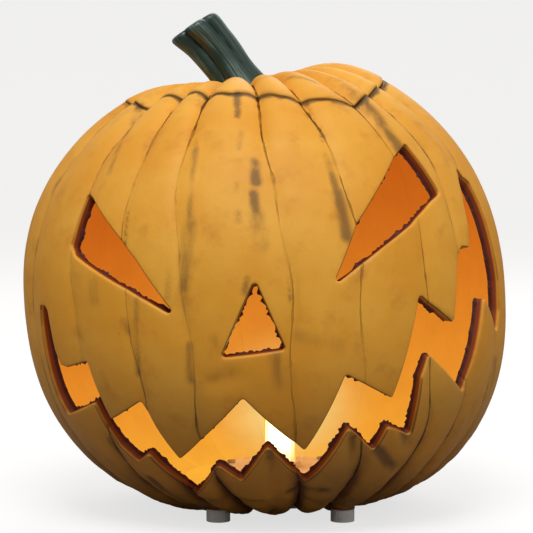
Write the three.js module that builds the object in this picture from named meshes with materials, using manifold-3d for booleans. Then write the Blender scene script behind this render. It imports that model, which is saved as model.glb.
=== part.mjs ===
// Painted ceramic jack-o'-lantern with a lift-off lid and a battery lamp plugged into its base.
// Millimetres, +Z up. The origin is the middle of the footprint on the resting plane, and the
// carved face looks along -Y. The pumpkin grows round a pole that leans a little towards -X.
import * as THREE from 'three';
import { mergeVertices } from 'three/addons/utils/BufferGeometryUtils.js';
import Module from 'manifold-3d';

const wasm = await Module();
wasm.setup();

// ---------- driving dimensions ----------
const DEG = Math.PI / 180;
const bodyHalfWidth = 124;
const bodyHalfDepth = 119;
const crownHeight = 116.5;        // from the body's middle to the crown, before the stem dimple
const baseDrop = 114.5;           // from the body's middle to the underside
const crownTilt = 10;             // how much further the crown stands out on the +X side
const baseTilt = -1.5;            // and the base
const sideShear = 0.045;          // sideways lean of the girth, as a share of the height
const crownPower = 2.17;          // roundness exponents: 2 is an ellipse, more is squarer
const basePower = 2.45;
const middleHeight = 112.5;
const poleLean = 5.5 * DEG;
const wall = 6;
const innerReliefShare = 0.6;     // how much of the lobes' relief shows inside
const clearance = 0.3;
const stemDimple = { depth: 14, spread: 16 };
const baseDimple = { depth: 8, spread: 18 };
// The crown stands a little higher on its right shoulder.
const crownSwell = { azimuth: 95, polar: 26, height: 2.6, spread: 13 };
const lobeHeight = { crown: 5.3, side: 1.2, base: 4.8 };
const lobeSection = { power: 0.7, level: 0.62, commonWidth: 18 };
const crownZone = [20, 62];       // polar angles over which the crown's relief dies away
const baseZone = [118, 150];      // and over which the base's relief grows
const poleFade = 0.35;            // sine of the polar angle below which the relief flattens

// Azimuth of each crease between two lobes, in degrees from the front, positive towards +X.
const creaseAzimuths = [
  -172, -150, -130, -110, -90, -70, -49, -33, -19, 5.5, 23, 41.5, 54, 69, 90, 110, 130, 150, 168,
];

// Carved outlines as [azimuth, latitude] in degrees about the leaning pole.
const leftEye = [
  [-49, 30], [-50.5, 20], [-51, 17.5], [-49.5, 15.5], [-38, 10], [-27.5, 4.5], [-20, 0], [-30, 14],
  [-46, 28.5],
];
const rightEye = [
  [48.5, 35], [52, 21.5], [47.5, 20], [39, 15.5], [30, 11.5], [16, 4], [24.5, 17.5], [42, 32],
];
const nose = [[-1.5, 7.5], [-11, -9.5], [4, -9]];
const mouthUpperEdge = [
  [-64.5, 3.5], [-61.5, 3.5], [-60.5, 2.5], [-59, -6.5], [-57.5, -10], [-55, -10.5], [-47, -9],
  [-44, -23], [-33, -18.5], [-27.5, -34], [-7, -19], [7, -34], [17.5, -16], [29.5, -23], [38, -0.5],
  [47.5, -8], [48.5, -7.5], [51.5, 4.5], [54.5, 8.5], [57.5, 8], [59, 11], [60.5, 17.5], [63, 23],
];
const mouthRightEnd = [[66, 26.5], [70.5, 22.5], [71.5, 17], [72.5, 4.5], [73.3, -1.5], [73, -8.5]];
const mouthLowerEdge = [
  [71.5, -13.5], [62, -4], [54, -25], [40.5, -14.5], [38, -19.5], [37.5, -27.5], [37.5, -33.5],
  [33, -31.5], [29.5, -30], [27, -36.5], [18.5, -29], [7.5, -45], [-2.5, -31.5], [-12, -42],
  [-17.5, -37], [-33, -49], [-34, -43.5], [-35.5, -38], [-37, -32.5], [-42.5, -35], [-46, -30],
  [-47.5, -25.5], [-48.5, -19], [-63, -22.5], [-64.5, -18], [-65, -12], [-65, -1],
];
const mouth = [...mouthUpperEdge, ...mouthRightEnd, ...mouthLowerEdge];
const lidEdge = [
  [-170, 58], [-150, 54], [-130, 57], [-110, 55], [-90, 58], [-70, 59], [-51, 56.5], [-44, 60.5],
  [-30, 61], [-20, 61.5], [-6, 57.5], [4, 59], [14, 54.5], [29, 51.5], [42, 48.5], [47, 50],
  [57, 52], [75, 54], [92, 56], [110, 53], [130, 56], [150, 54], [170, 57],
];
const lidGapAngle = 0.3;          // shrinks the lid all round, in degrees, for the visible seam
const carveFrom = 60;             // radii between which the carving cutters run
const lidPlugFrom = 40;
const cutterReach = 190;
const farBelow = -20;             // a height below the base, where upward cuts start

// ---------- lamp module: battery tub, cover, bulb ----------
const lampAxisX = 8;              // the base hole follows the leaning pole
const seatHeight = 9.5;           // underside of the shell's base ring
const recessRadius = 45;
const baseHoleRadius = 36;
const ringTop = 16;
const ringOuterRadius = 50;
const flange = { radius: 42, bottom: 5.5, top: 8 };
const tub = { outerRadius: 34, innerRadius: 32, top: 18 };
const bay = { halfWidth: 16.6, halfLength: 25.75, wall: 1.2 };
const cell = { radius: 5.25, body: 43.4, nubRadius: 1.9, nub: 1, pitch: 10.9, axisHeight: 11.4 };
const cellStart = 20.6;           // flat end of a cell, from the middle of the bay
const spring = { radius: 2.7, wire: 0.4, start: 21.4, end: 24.9, turns: 2.5, stepsPerTurn: 10 };
const plate = { half: 4, inner: 24.3, outer: 25.4 };
const coverScrew = { shank: 1, head: 2.1, tip: 12, hole: 1.3, headHeight: 1.4 };
const boardScrew = { shank: 0.8, head: 1.6, tip: 10, hole: 1.1, headHeight: 1.2 };
const door = { bottom: 3.6, top: 5.2, halfWidth: 18, halfLength: 28, tabReach: 20, tabLength: 7 };
const doorTabCentres = [-15, 15];
const hook = { bottom: 2.4, lipTop: 3.3, postInner: 20.4, outer: 21.8, lipInner: 18.6 };
const cover = { bottom: 18.3, top: 20.3, radius: 33.8, wireHole: 3.5 };
const collar = { inner: 8.6, outer: 10.6, top: 23.3 };
const bulb = { radius: 8.2, wall: 1.3, bottom: 20.6, shoulder: 44, top: 62 };
const led = { radius: 2.5, flangeRadius: 2.9, bottom: 20.9, flangeTop: 21.9, top: 29.6 };
const board = { x: 23.8, halfWidth: 4.8, halfLength: 13, bottom: 14, top: 15.6 };
const boardPost = { spread: 10.6, radius: 1.9 };
const notch = { bottom: 16.4, reach: 3, leadHalf: 5, endCentre: 17, endHalf: 2 };
const grip = { centres: [-24, -20, -16], halfLength: 8, halfWidth: 0.8, depth: 0.8 };
const seal = { inner: 34.3, outer: 35.7, lip: 40 };
const switchSpot = { x: 23.8, halfWidth: 3, halfLength: 5, bottom: 8.7 };
const knob = { halfWidth: 1.3, halfLength: 1.6, bottom: 4.5, top: 8.4, onOffset: 1.6 };
const knobSlot = { halfWidth: 1.7, halfLength: 3.6 };
const coverPosts = [[-25.5, 10], [-25.5, -10], [22, 20.5], [22, -20.5]];
const postRadius = 2.3;
const leadRadius = 0.6;
const foot = { radius: 6, height: 6.2, circle: 54.5, azimuths: [-35, 35, 130, -130] };

// ---------- colours ----------
const finish = (color, roughness, metalness = 0) =>
  new THREE.MeshStandardMaterial({ color, roughness, metalness });
const shellPaint = () => finish(0xe0a03c, 0.62);
const stemPaint = () => finish(0x16352a, 0.28);
const ivoryPlastic = () => finish(0xe2dac8, 0.5);
const rubber = () => finish(0x2a2a2c, 0.85);
const clearRubber = () => finish(0xe4e0d8, 0.4);
const frosted = () => finish(0xfff3d6, 0.5);
const clearResin = () => finish(0xffe9b0, 0.15);
const boardGreen = () => finish(0x1f5b3a, 0.5);
const springSteel = () => finish(0xc9ccd0, 0.3, 1);
const cellWrap = () => finish(0x3a4652, 0.35);
const redSleeve = () => finish(0xb0221c, 0.45);
const blackSleeve = () => finish(0x161616, 0.45);

// ---------- solids and cuts ----------
const crownNet = [64, 26];        // facets round and down the outer form
const cavityNet = [36, 16];       // and the inner form

function toSolid(geometry) {
  const bare = geometry.clone();
  bare.deleteAttribute('normal');
  bare.deleteAttribute('uv');
  const merged = mergeVertices(bare, 1e-4);
  const triVerts = new Uint32Array(merged.index.array);
  const vertProperties = new Float32Array(merged.attributes.position.array);
  const mesh = new wasm.Mesh({ numProp: 3, vertProperties, triVerts });
  mesh.merge();
  return new wasm.Manifold(mesh);
}

function toGeometry(solid) {
  const mesh = solid.getMesh();
  const geometry = new THREE.BufferGeometry();
  geometry.setAttribute('position', new THREE.BufferAttribute(mesh.vertProperties.slice(), 3));
  geometry.setIndex(new THREE.BufferAttribute(mesh.triVerts.slice(), 1));
  geometry.computeVertexNormals();
  return geometry;
}

const join = (first, ...others) => others.reduce((sum, one) => sum.add(one), first);
const cut = (first, ...others) => others.reduce((rest, one) => rest.subtract(one), first);

function cylinder(radius, bottom, top, x = 0, y = 0, sides = 24) {
  const geometry = new THREE.CylinderGeometry(radius, radius, top - bottom, sides);
  geometry.rotateX(Math.PI / 2);
  geometry.translate(x, y, (bottom + top) / 2);
  return geometry;
}

function block(low, high) {
  const size = high.map((value, axis) => value - low[axis]);
  const middle = high.map((value, axis) => (value + low[axis]) / 2);
  return new THREE.BoxGeometry(...size).translate(...middle);
}

// A closed solid of revolution about Z. Its [radius, height] corners start and end on the axis,
// or the profile closes on itself.
function turned(profile, segments = 24) {
  const points = profile.map(([radius, height]) => new THREE.Vector2(radius, height));
  if (points[0].x > 0) points.push(points[0].clone());
  return new THREE.LatheGeometry(points, segments).rotateX(Math.PI / 2);
}

function tubeAlong(points, radius, steps, sides) {
  const section = new THREE.Shape();
  for (let side = 0; side < sides; side += 1) {
    const angle = (side / sides) * 2 * Math.PI;
    const place = [radius * Math.cos(angle), radius * Math.sin(angle)];
    if (side === 0) section.moveTo(...place);
    else section.lineTo(...place);
  }
  section.closePath();
  const extrudePath = new THREE.CatmullRomCurve3(points.map((point) => new THREE.Vector3(...point)));
  return new THREE.ExtrudeGeometry(section, { steps, extrudePath, bevelEnabled: false });
}

// ---------- pumpkin surface ----------
const smoothstep = (low, high, value) => THREE.MathUtils.smoothstep(value, low, high);

// World direction from an azimuth and polar angle (radians) about the leaning pole.
function poleDirection(azimuth, polar) {
  const direction = new THREE.Vector3(
    Math.sin(polar) * Math.sin(azimuth),
    -Math.sin(polar) * Math.cos(azimuth),
    Math.cos(polar),
  );
  return direction.applyAxisAngle(new THREE.Vector3(0, 1, 0), -poleLean);
}

function lobeRelief(azimuthDeg, polarDeg) {
  const first = creaseAzimuths[0];
  const turn = azimuthDeg < first ? azimuthDeg + 360 : azimuthDeg;
  const edges = [...creaseAzimuths, first + 360];
  const index = edges.findLastIndex((edge) => edge <= turn);
  const from = edges[Math.min(index, edges.length - 2)];
  const to = edges[Math.min(index, edges.length - 2) + 1];
  const share = Math.min(Math.max((turn - from) / (to - from), 0), 1);
  const profile = Math.sin(Math.PI * share) ** lobeSection.power - lobeSection.level;
  const { crown, side, base } = lobeHeight;
  const towardsCrown = (crown - side) * (1 - smoothstep(...crownZone, polarDeg));
  const towardsBase = (base - side) * smoothstep(...baseZone, polarDeg);
  const nearPole = Math.min(1, Math.sin(polarDeg * DEG) / poleFade);
  const width = Math.sqrt((to - from) / lobeSection.commonWidth);
  return (side + towardsCrown + towardsBase) * nearPole * width * profile;
}

function surfaceRadius(azimuthDeg, polarDeg, reliefShare = 1) {
  const direction = poleDirection(azimuthDeg * DEG, polarDeg * DEG);
  const up = direction.z > 0;
  const across = (direction.x + sideShear * direction.z) / bodyHalfWidth;
  const round = Math.hypot(across, direction.y / bodyHalfDepth);
  const rise = up ? crownHeight + crownTilt * direction.x : baseDrop + baseTilt * direction.x;
  const power = up ? crownPower : basePower;
  const plain = (round ** power + Math.abs(direction.z / rise) ** power) ** (-1 / power);
  const shoulder = poleDirection(crownSwell.azimuth * DEG, crownSwell.polar * DEG);
  const awayDeg = shoulder.angleTo(direction) / DEG;
  const swell = crownSwell.height * Math.exp(-((awayDeg / crownSwell.spread) ** 2));
  const dimples = stemDimple.depth * Math.exp(-((polarDeg / stemDimple.spread) ** 2))
    + baseDimple.depth * Math.exp(-(((180 - polarDeg) / baseDimple.spread) ** 2));
  return plain + reliefShare * lobeRelief(azimuthDeg, polarDeg) + swell - dimples;
}

// The pumpkin's form as a solid, moved in or out by an offset along the radius.
function pumpkinForm(offset, reliefShare, around, down) {
  const geometry = new THREE.SphereGeometry(1, around, down);
  const place = geometry.attributes.position;
  const point = new THREE.Vector3();
  for (let index = 0; index < place.count; index += 1) {
    point.fromBufferAttribute(place, index);
    const azimuth = Math.atan2(point.x, point.z);
    const polar = Math.acos(THREE.MathUtils.clamp(point.y, -1, 1));
    const radius = surfaceRadius(azimuth / DEG, polar / DEG, reliefShare) + offset;
    const moved = poleDirection(azimuth, polar).multiplyScalar(radius);
    place.setXYZ(index, moved.x, moved.y, moved.z + middleHeight);
  }
  return toSolid(geometry);
}

// A wedge that runs out from the pumpkin's middle through an [azimuth, latitude] outline.
function radialCutter(outline) {
  const flat = outline.map(([azimuth, latitude]) => new THREE.Vector2(azimuth, latitude));
  if (THREE.ShapeUtils.isClockWise(flat)) flat.reverse();
  const count = flat.length;
  const positions = [];
  for (const radius of [carveFrom, cutterReach]) {
    for (const corner of flat) {
      const direction = poleDirection(corner.x * DEG, (90 - corner.y) * DEG);
      positions.push(direction.x * radius, direction.y * radius);
      positions.push(direction.z * radius + middleHeight);
    }
  }
  const faces = [];
  for (const [a, b, c] of THREE.ShapeUtils.triangulateShape(flat, [])) {
    faces.push(a + count, b + count, c + count, c, b, a);
  }
  for (let here = 0; here < count; here += 1) {
    const next = (here + 1) % count;
    faces.push(here, next, next + count, here, next + count, here + count);
  }
  const geometry = new THREE.BufferGeometry();
  geometry.setAttribute('position', new THREE.Float32BufferAttribute(positions, 3));
  geometry.setIndex(faces);
  return toSolid(geometry);
}

// The cone-sided plug that parts the lid from the shell, closed over the crown.
function lidPlug(shrink) {
  const corners = lidEdge.map(([azimuth, latitude]) => [azimuth * DEG, (90 - latitude - shrink) * DEG]);
  const count = corners.length;
  const positions = [];
  for (const radius of [lidPlugFrom, cutterReach]) {
    for (const [azimuth, polar] of corners) {
      const spot = poleDirection(azimuth, polar).multiplyScalar(radius);
      positions.push(spot.x, spot.y, spot.z + middleHeight);
    }
    const pole = poleDirection(0, 0).multiplyScalar(radius);
    positions.push(pole.x, pole.y, pole.z + middleHeight);
  }
  const faces = [];
  const ring = count + 1;
  for (let here = 0; here < count; here += 1) {
    const next = (here + 1) % count;
    faces.push(here, count, next);
    faces.push(here + ring, next + ring, count + ring);
    faces.push(here, next, next + ring, here, next + ring, here + ring);
  }
  const geometry = new THREE.BufferGeometry();
  geometry.setAttribute('position', new THREE.Float32BufferAttribute(positions, 3));
  geometry.setIndex(faces);
  return toSolid(geometry);
}

// ---------- shell, lid and stem ----------
const outerForm = pumpkinForm(0, 1, ...crownNet);
const innerForm = pumpkinForm(-wall, innerReliefShare, ...cavityNet);

function footPlace(azimuthDeg) {
  const angle = azimuthDeg * DEG;
  return [lampAxisX + foot.circle * Math.sin(angle), -foot.circle * Math.cos(angle)];
}

function makeShell() {
  const ring = toSolid(cylinder(ringOuterRadius, seatHeight - 4, ringTop, lampAxisX, 0, 32));
  const cavity = cut(innerForm, ring);
  const recess = toSolid(cylinder(recessRadius, farBelow, seatHeight, lampAxisX, 0, 32));
  const hole = toSolid(cylinder(baseHoleRadius, farBelow, ringTop + 1, lampAxisX, 0, 32));
  const pockets = foot.azimuths.map((azimuth) => {
    const [x, y] = footPlace(azimuth);
    return toSolid(cylinder(foot.radius + clearance, farBelow, foot.height + clearance, x, y, 20));
  });
  const carvings = [leftEye, rightEye, nose, mouth].map(radialCutter);
  return cut(outerForm, cavity, lidPlug(0), recess, hole, ...pockets, ...carvings);
}

// The stem rises out of the dimple and leans over to -X; five flutes run up it.
const stem = {
  start: [-8, 0, middleHeight + 93],
  end: [-35, 2, middleHeight + 137],
  bury: 10,                       // where the stem's axis meets the crown, above its start
  baseRadius: 15.5,
  waistRadius: 11.2,
  endRadius: 11.8,
  flareTop: 0.55,                 // share of the length where the flare at the root has died away
  endBulge: 0.6,                  // and where the end begins to swell
  bow: 3,
  flutes: 5,
  fluteDepth: 0.09,
};

function makeStem() {
  const start = new THREE.Vector3(...stem.start);
  const along = new THREE.Vector3(...stem.end).sub(start);
  const length = along.length();
  const geometry = new THREE.CylinderGeometry(1, 1, length, 20, 8);
  const place = geometry.attributes.position;
  const spot = new THREE.Vector3();
  for (let index = 0; index < place.count; index += 1) {
    spot.fromBufferAttribute(place, index);
    const share = spot.y / length + 0.5;
    const flare = (1 - smoothstep(0, stem.flareTop, share)) ** 1.5;
    const plain = stem.waistRadius + (stem.baseRadius - stem.waistRadius) * flare
      + (stem.endRadius - stem.waistRadius) * smoothstep(stem.endBulge, 1, share);
    const flute = 1 + stem.fluteDepth * Math.cos(stem.flutes * Math.atan2(spot.z, spot.x));
    const bow = stem.bow * Math.sin(Math.PI * share);
    place.setXYZ(index, spot.x * plain * flute + bow, spot.y, spot.z * plain * flute);
  }
  const turn = new THREE.Quaternion();
  turn.setFromUnitVectors(new THREE.Vector3(0, 1, 0), along.clone().normalize());
  geometry.applyQuaternion(turn);
  const middle = start.clone().addScaledVector(along, 0.5);
  geometry.translate(middle.x, middle.y, middle.z);
  return geometry;
}

const lidRise = 0.8;              // the lid's skin stands this much proud of the shell's
const lidTop = pumpkinForm(lidRise, 1, ...crownNet);
const peg = { radius: 4.5, depth: 4.5 };

// A post along the stem's lower end, sunk below the crown.
function stemPost(radius, depth) {
  const start = new THREE.Vector3(...stem.start);
  const tilt = new THREE.Vector3(...stem.end).sub(start).normalize();
  const post = cylinder(radius, stem.bury - depth, stem.bury + 6, 0, 0, 16);
  post.applyQuaternion(new THREE.Quaternion().setFromUnitVectors(new THREE.Vector3(0, 0, 1), tilt));
  return toSolid(post.translate(start.x, start.y, start.z));
}

function makeStemSolid() {
  const bedding = pumpkinForm(lidRise + clearance, 1, ...crownNet);
  return join(cut(toSolid(makeStem()), bedding), stemPost(peg.radius, peg.depth));
}

function makeLid() {
  const lid = cut(lidTop.intersect(lidPlug(lidGapAngle)), innerForm);
  return cut(lid, stemPost(peg.radius + clearance, peg.depth + clearance));
}

// ---------- lamp module pieces ----------
function makeTub() {
  const disc = toSolid(cylinder(flange.radius, flange.bottom, flange.top, 0, 0, 32));
  const drum = cut(
    toSolid(cylinder(tub.outerRadius, flange.top - 1, tub.top, 0, 0, 32)),
    toSolid(cylinder(tub.innerRadius, flange.top, tub.top + 1, 0, 0, 32)),
  );
  const { halfWidth, halfLength, wall: bayWall } = bay;
  const casing = toSolid(block(
    [-halfWidth - bayWall, -halfLength - bayWall, flange.top - 1],
    [halfWidth + bayWall, halfLength + bayWall, tub.top],
  ));
  const opening = toSolid(block([-halfWidth, -halfLength, 0], [halfWidth, halfLength, tub.top + 1]));
  const notchAt = (centre, half) => toSolid(block(
    [halfWidth - 1, centre - half, notch.bottom],
    [halfWidth + notch.reach, centre + half, tub.top + 1],
  ));
  const leadNotch = notchAt(0, notch.leadHalf);
  const endNotches = [-1, 1].map((side) => notchAt(side * notch.endCentre, notch.endHalf));
  const slot = toSolid(block(
    [switchSpot.x - knobSlot.halfWidth, -knobSlot.halfLength, 0],
    [switchSpot.x + knobSlot.halfWidth, knobSlot.halfLength, flange.top + 1],
  ));
  const insideDrum = toSolid(cylinder(tub.outerRadius - 0.5, 0, tub.top, 0, 0, 32));
  const posts = coverPosts.map(([x, y]) => cut(
    toSolid(cylinder(postRadius, flange.top - 1, tub.top, x, y, 16)).intersect(insideDrum),
    toSolid(cylinder(coverScrew.hole, coverScrew.tip - 1, tub.top + 1, x, y, 12)),
  ));
  const boardPosts = [-1, 1].map((side) => {
    const spot = [board.x, side * boardPost.spread];
    return cut(
      toSolid(cylinder(boardPost.radius, flange.top - 1, board.bottom - clearance, ...spot, 12)),
      toSolid(cylinder(boardScrew.hole, boardScrew.tip - 1, board.bottom, ...spot, 10)),
    );
  });
  const hooks = [-1, 1].flatMap((side) => doorTabCentres.map((y) => {
    const half = door.tabLength / 2;
    const post = [[hook.postInner, y - half, hook.bottom], [hook.outer, y + half, flange.bottom + 1]];
    const lip = [[hook.lipInner, y - half, hook.bottom], [hook.outer, y + half, hook.lipTop]];
    const pair = [post, lip].map(([low, high]) => toSolid(block(low, high)));
    return join(...pair).mirror(side < 0 ? [1, 0, 0] : [0, 0, 0]);
  }));
  const shell = join(disc, drum, casing);
  return join(cut(shell, opening, leadNotch, ...endNotches, slot), ...posts, ...boardPosts, ...hooks);
}

function makeCover() {
  const disc = join(
    toSolid(cylinder(cover.radius, cover.bottom, cover.top, 0, 0, 32)),
    toSolid(cylinder(collar.outer, cover.top - 1, collar.top, 0, 0, 24)),
  );
  const socket = toSolid(cylinder(collar.inner, cover.top, collar.top + 1, 0, 0, 24));
  const wireHole = toSolid(cylinder(cover.wireHole, 0, cover.top + 1, 0, 0, 16));
  const screwHoles = coverPosts.map(([x, y]) => (
    toSolid(cylinder(coverScrew.hole, 0, cover.top + 1, x, y, 12))
  ));
  return cut(disc, socket, wireHole, ...screwHoles);
}

function makeDoor() {
  const plate = toSolid(block(
    [-door.halfWidth, -door.halfLength, door.bottom],
    [door.halfWidth, door.halfLength, door.top],
  ));
  const tabs = doorTabCentres.map((y) => toSolid(block(
    [-door.tabReach, y - door.tabLength / 2, door.bottom],
    [door.tabReach, y + door.tabLength / 2, door.top],
  )));
  const grips = grip.centres.map((centre) => toSolid(block(
    [-grip.halfLength, centre - grip.halfWidth, door.bottom - grip.depth],
    [grip.halfLength, centre + grip.halfWidth, door.bottom + 0.5],
  )));
  return join(plate, ...tabs, ...grips);
}

function makeBulb() {
  const inner = bulb.radius - bulb.wall;
  const tip = bulb.top - bulb.shoulder;
  const outside = [];
  const inside = [];
  const steps = 4;
  for (let step = 0; step <= steps; step += 1) {
    const angle = (step / steps) * Math.PI / 2;
    const reach = Math.cos(angle) ** 1.25;
    outside.push([bulb.radius * reach, bulb.shoulder + tip * Math.sin(angle)]);
    inside.unshift([inner * reach, bulb.shoulder + (tip - bulb.wall) * Math.sin(angle)]);
  }
  outside[steps][0] = 0;
  inside[0][0] = 0;
  const profile = [...inside, [inner, bulb.bottom], [bulb.radius, bulb.bottom], ...outside];
  return turned(profile, 16);
}

const ledProfile = [
  [0, led.bottom], [led.flangeRadius, led.bottom], [led.flangeRadius, led.flangeTop],
  [led.radius, led.flangeTop], [led.radius, led.top - led.radius], [led.radius * 0.7, led.top - 0.7],
  [0, led.top],
];

const sealProfile = [
  [seal.inner, flange.top + clearance], [seal.lip, flange.top + clearance],
  [seal.lip, seatHeight - clearance], [seal.outer, seatHeight - clearance],
  [seal.outer, ringTop + clearance], [seal.inner, ringTop + clearance],
];

// A pan-head screw standing on a face at the given height.
function makeScrew(screw, face, sides) {
  const headBottom = face + clearance;
  const headTop = face + screw.headHeight + clearance;
  return turned([
    [0, screw.tip], [screw.shank, screw.tip + 1], [screw.shank, headBottom],
    [screw.head, headBottom], [screw.head, headTop - 0.4], [screw.head - 0.6, headTop], [0, headTop],
  ], sides);
}

// One cell lying along Y, its nub towards the given end.
function makeCell(column, nubSide) {
  const geometry = turned([
    [0, 0], [cell.radius - 0.5, 0], [cell.radius, 0.5], [cell.radius, cell.body - 0.8],
    [cell.radius - 0.8, cell.body], [cell.nubRadius, cell.body],
    [cell.nubRadius, cell.body + cell.nub], [0, cell.body + cell.nub],
  ], 16);
  geometry.rotateX(-nubSide * Math.PI / 2);
  return geometry.translate(column * cell.pitch, -nubSide * cellStart, cell.axisHeight);
}

function makeSpring(column, nubSide) {
  const steps = spring.turns * spring.stepsPerTurn;
  const points = [];
  for (let step = 0; step <= steps; step += 1) {
    const angle = (step / spring.stepsPerTurn) * 2 * Math.PI;
    const along = spring.start + ((spring.end - spring.start) * step) / steps;
    points.push([
      column * cell.pitch + spring.radius * Math.cos(angle),
      -nubSide * along,
      cell.axisHeight + spring.radius * Math.sin(angle),
    ]);
  }
  return tubeAlong(points, spring.wire, points.length, 4);
}

function makeContactPlate(column, nubSide) {
  const x = column * cell.pitch;
  const low = [x - plate.half, plate.inner, cell.axisHeight - plate.half];
  const high = [x + plate.half, plate.outer, cell.axisHeight + plate.half];
  return block(
    nubSide > 0 ? low : [low[0], -high[1], low[2]],
    nubSide > 0 ? high : [high[0], -low[1], high[2]],
  );
}

// Route of a lead from the lamp's foot over the cells to the board, on one side of the middle.
const ledLeadRoute = (side) => [
  [side * 1.25, 0.6 * side, 20.5], [side * 1.3, side * 0.9, 19.2], [1.8, side * 1.8, 17.65],
  [5, side * 2.6, 17.4], [12, side * 3, 17.5], [19, side * 3, 17.5], [22, side * 3.2, 17.2],
  [23, side * 3.4, 16],
];
const batteryLeadRoute = (side) => [
  [14.6, side * 17, 17.5], [17.6, side * 16.8, 17.5], [19.8, side * 14.8, 17.5],
  [20.6, side * 11.5, 17.5], [20.8, side * 8.6, 17.1], [20.8, side * 7.2, 16],
];

// ---------- assembly ----------
const pumpkin = new THREE.Group();
pumpkin.name = 'pumpkin_lantern';

function place(parent, name, geometry, material) {
  const mesh = new THREE.Mesh(geometry, material);
  mesh.name = name;
  parent.add(mesh);
  return mesh;
}

place(pumpkin, 'pumpkin_shell', toGeometry(makeShell()), shellPaint());
place(pumpkin, 'lid', toGeometry(makeLid()), shellPaint());
place(pumpkin, 'stem', toGeometry(makeStemSolid()), stemPaint());

foot.azimuths.forEach((azimuth, index) => {
  const [x, y] = footPlace(azimuth);
  const pad = cylinder(foot.radius, 0, foot.height, x, y, 20);
  place(pumpkin, `foot_pad_${index + 1}`, pad, clearRubber());
});

const lamp = new THREE.Group();
lamp.position.x = lampAxisX;
pumpkin.add(lamp);

place(lamp, 'hole_seal', turned(sealProfile, 32), rubber());
place(lamp, 'lamp_tub', toGeometry(makeTub()), ivoryPlastic());
place(lamp, 'lamp_cover', toGeometry(makeCover()), ivoryPlastic());
place(lamp, 'bulb_diffuser', makeBulb(), frosted());
place(lamp, 'led', turned(ledProfile, 12), clearResin());

const boardSolid = cut(
  toSolid(block(
    [board.x - board.halfWidth, -board.halfLength, board.bottom],
    [board.x + board.halfWidth, board.halfLength, board.top],
  )),
  ...[-1, 1].map((side) => (
    toSolid(cylinder(boardScrew.hole, 0, board.top + 1, board.x, side * boardPost.spread, 10))
  )),
);
place(lamp, 'circuit_board', toGeometry(boardSolid), boardGreen());
[-1, 1].forEach((side, index) => {
  const screw = makeScrew(boardScrew, board.top, 10);
  screw.translate(board.x, side * boardPost.spread, 0);
  place(lamp, `board_screw_${index + 1}`, screw, springSteel());
});
coverPosts.forEach(([x, y], index) => {
  const screw = makeScrew(coverScrew, cover.top, 12);
  screw.translate(x, y, 0);
  place(lamp, `cover_screw_${index + 1}`, screw, springSteel());
});

const switchBody = block(
  [switchSpot.x - switchSpot.halfWidth, -switchSpot.halfLength, switchSpot.bottom],
  [switchSpot.x + switchSpot.halfWidth, switchSpot.halfLength, board.bottom - clearance],
);
place(lamp, 'switch_body', switchBody, springSteel());
const switchKnob = block(
  [switchSpot.x - knob.halfWidth, knob.onOffset - knob.halfLength, knob.bottom],
  [switchSpot.x + knob.halfWidth, knob.onOffset + knob.halfLength, knob.top],
);
place(lamp, 'switch_knob', switchKnob, ivoryPlastic());

[-1, 0, 1].forEach((column, index) => {
  const nubSide = column === 0 ? -1 : 1;
  place(lamp, `battery_${index + 1}`, makeCell(column, nubSide), cellWrap());
  place(lamp, `contact_spring_${index + 1}`, makeSpring(column, nubSide), springSteel());
  place(lamp, `contact_plate_${index + 1}`, makeContactPlate(column, nubSide), springSteel());
});

place(lamp, 'led_lead_red', tubeAlong(ledLeadRoute(1), leadRadius, 16, 6), redSleeve());
place(lamp, 'led_lead_black', tubeAlong(ledLeadRoute(-1), leadRadius, 16, 6), blackSleeve());
place(lamp, 'battery_lead_red', tubeAlong(batteryLeadRoute(1), leadRadius, 12, 6), redSleeve());
place(lamp, 'battery_lead_black', tubeAlong(batteryLeadRoute(-1), leadRadius, 12, 6), blackSleeve());
place(lamp, 'battery_door', toGeometry(makeDoor()), ivoryPlastic());

export default pumpkin;
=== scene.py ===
import math

import bpy
import numpy as np
from mathutils import Matrix, Vector
from mathutils.geometry import delaunay_2d_cdt
from mathutils.kdtree import KDTree

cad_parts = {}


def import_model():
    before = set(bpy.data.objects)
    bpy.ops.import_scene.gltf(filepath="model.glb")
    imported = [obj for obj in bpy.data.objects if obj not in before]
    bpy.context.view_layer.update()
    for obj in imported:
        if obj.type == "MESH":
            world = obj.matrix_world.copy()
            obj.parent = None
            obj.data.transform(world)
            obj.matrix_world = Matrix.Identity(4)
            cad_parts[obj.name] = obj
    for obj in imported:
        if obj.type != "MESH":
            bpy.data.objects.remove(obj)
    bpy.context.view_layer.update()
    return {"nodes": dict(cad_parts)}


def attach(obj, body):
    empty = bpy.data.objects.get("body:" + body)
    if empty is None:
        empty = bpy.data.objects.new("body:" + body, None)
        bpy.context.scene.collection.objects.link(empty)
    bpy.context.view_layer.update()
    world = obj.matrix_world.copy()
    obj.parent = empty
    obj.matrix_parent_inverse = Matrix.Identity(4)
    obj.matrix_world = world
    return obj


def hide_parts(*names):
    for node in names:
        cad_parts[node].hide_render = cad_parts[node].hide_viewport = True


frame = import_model()

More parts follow.
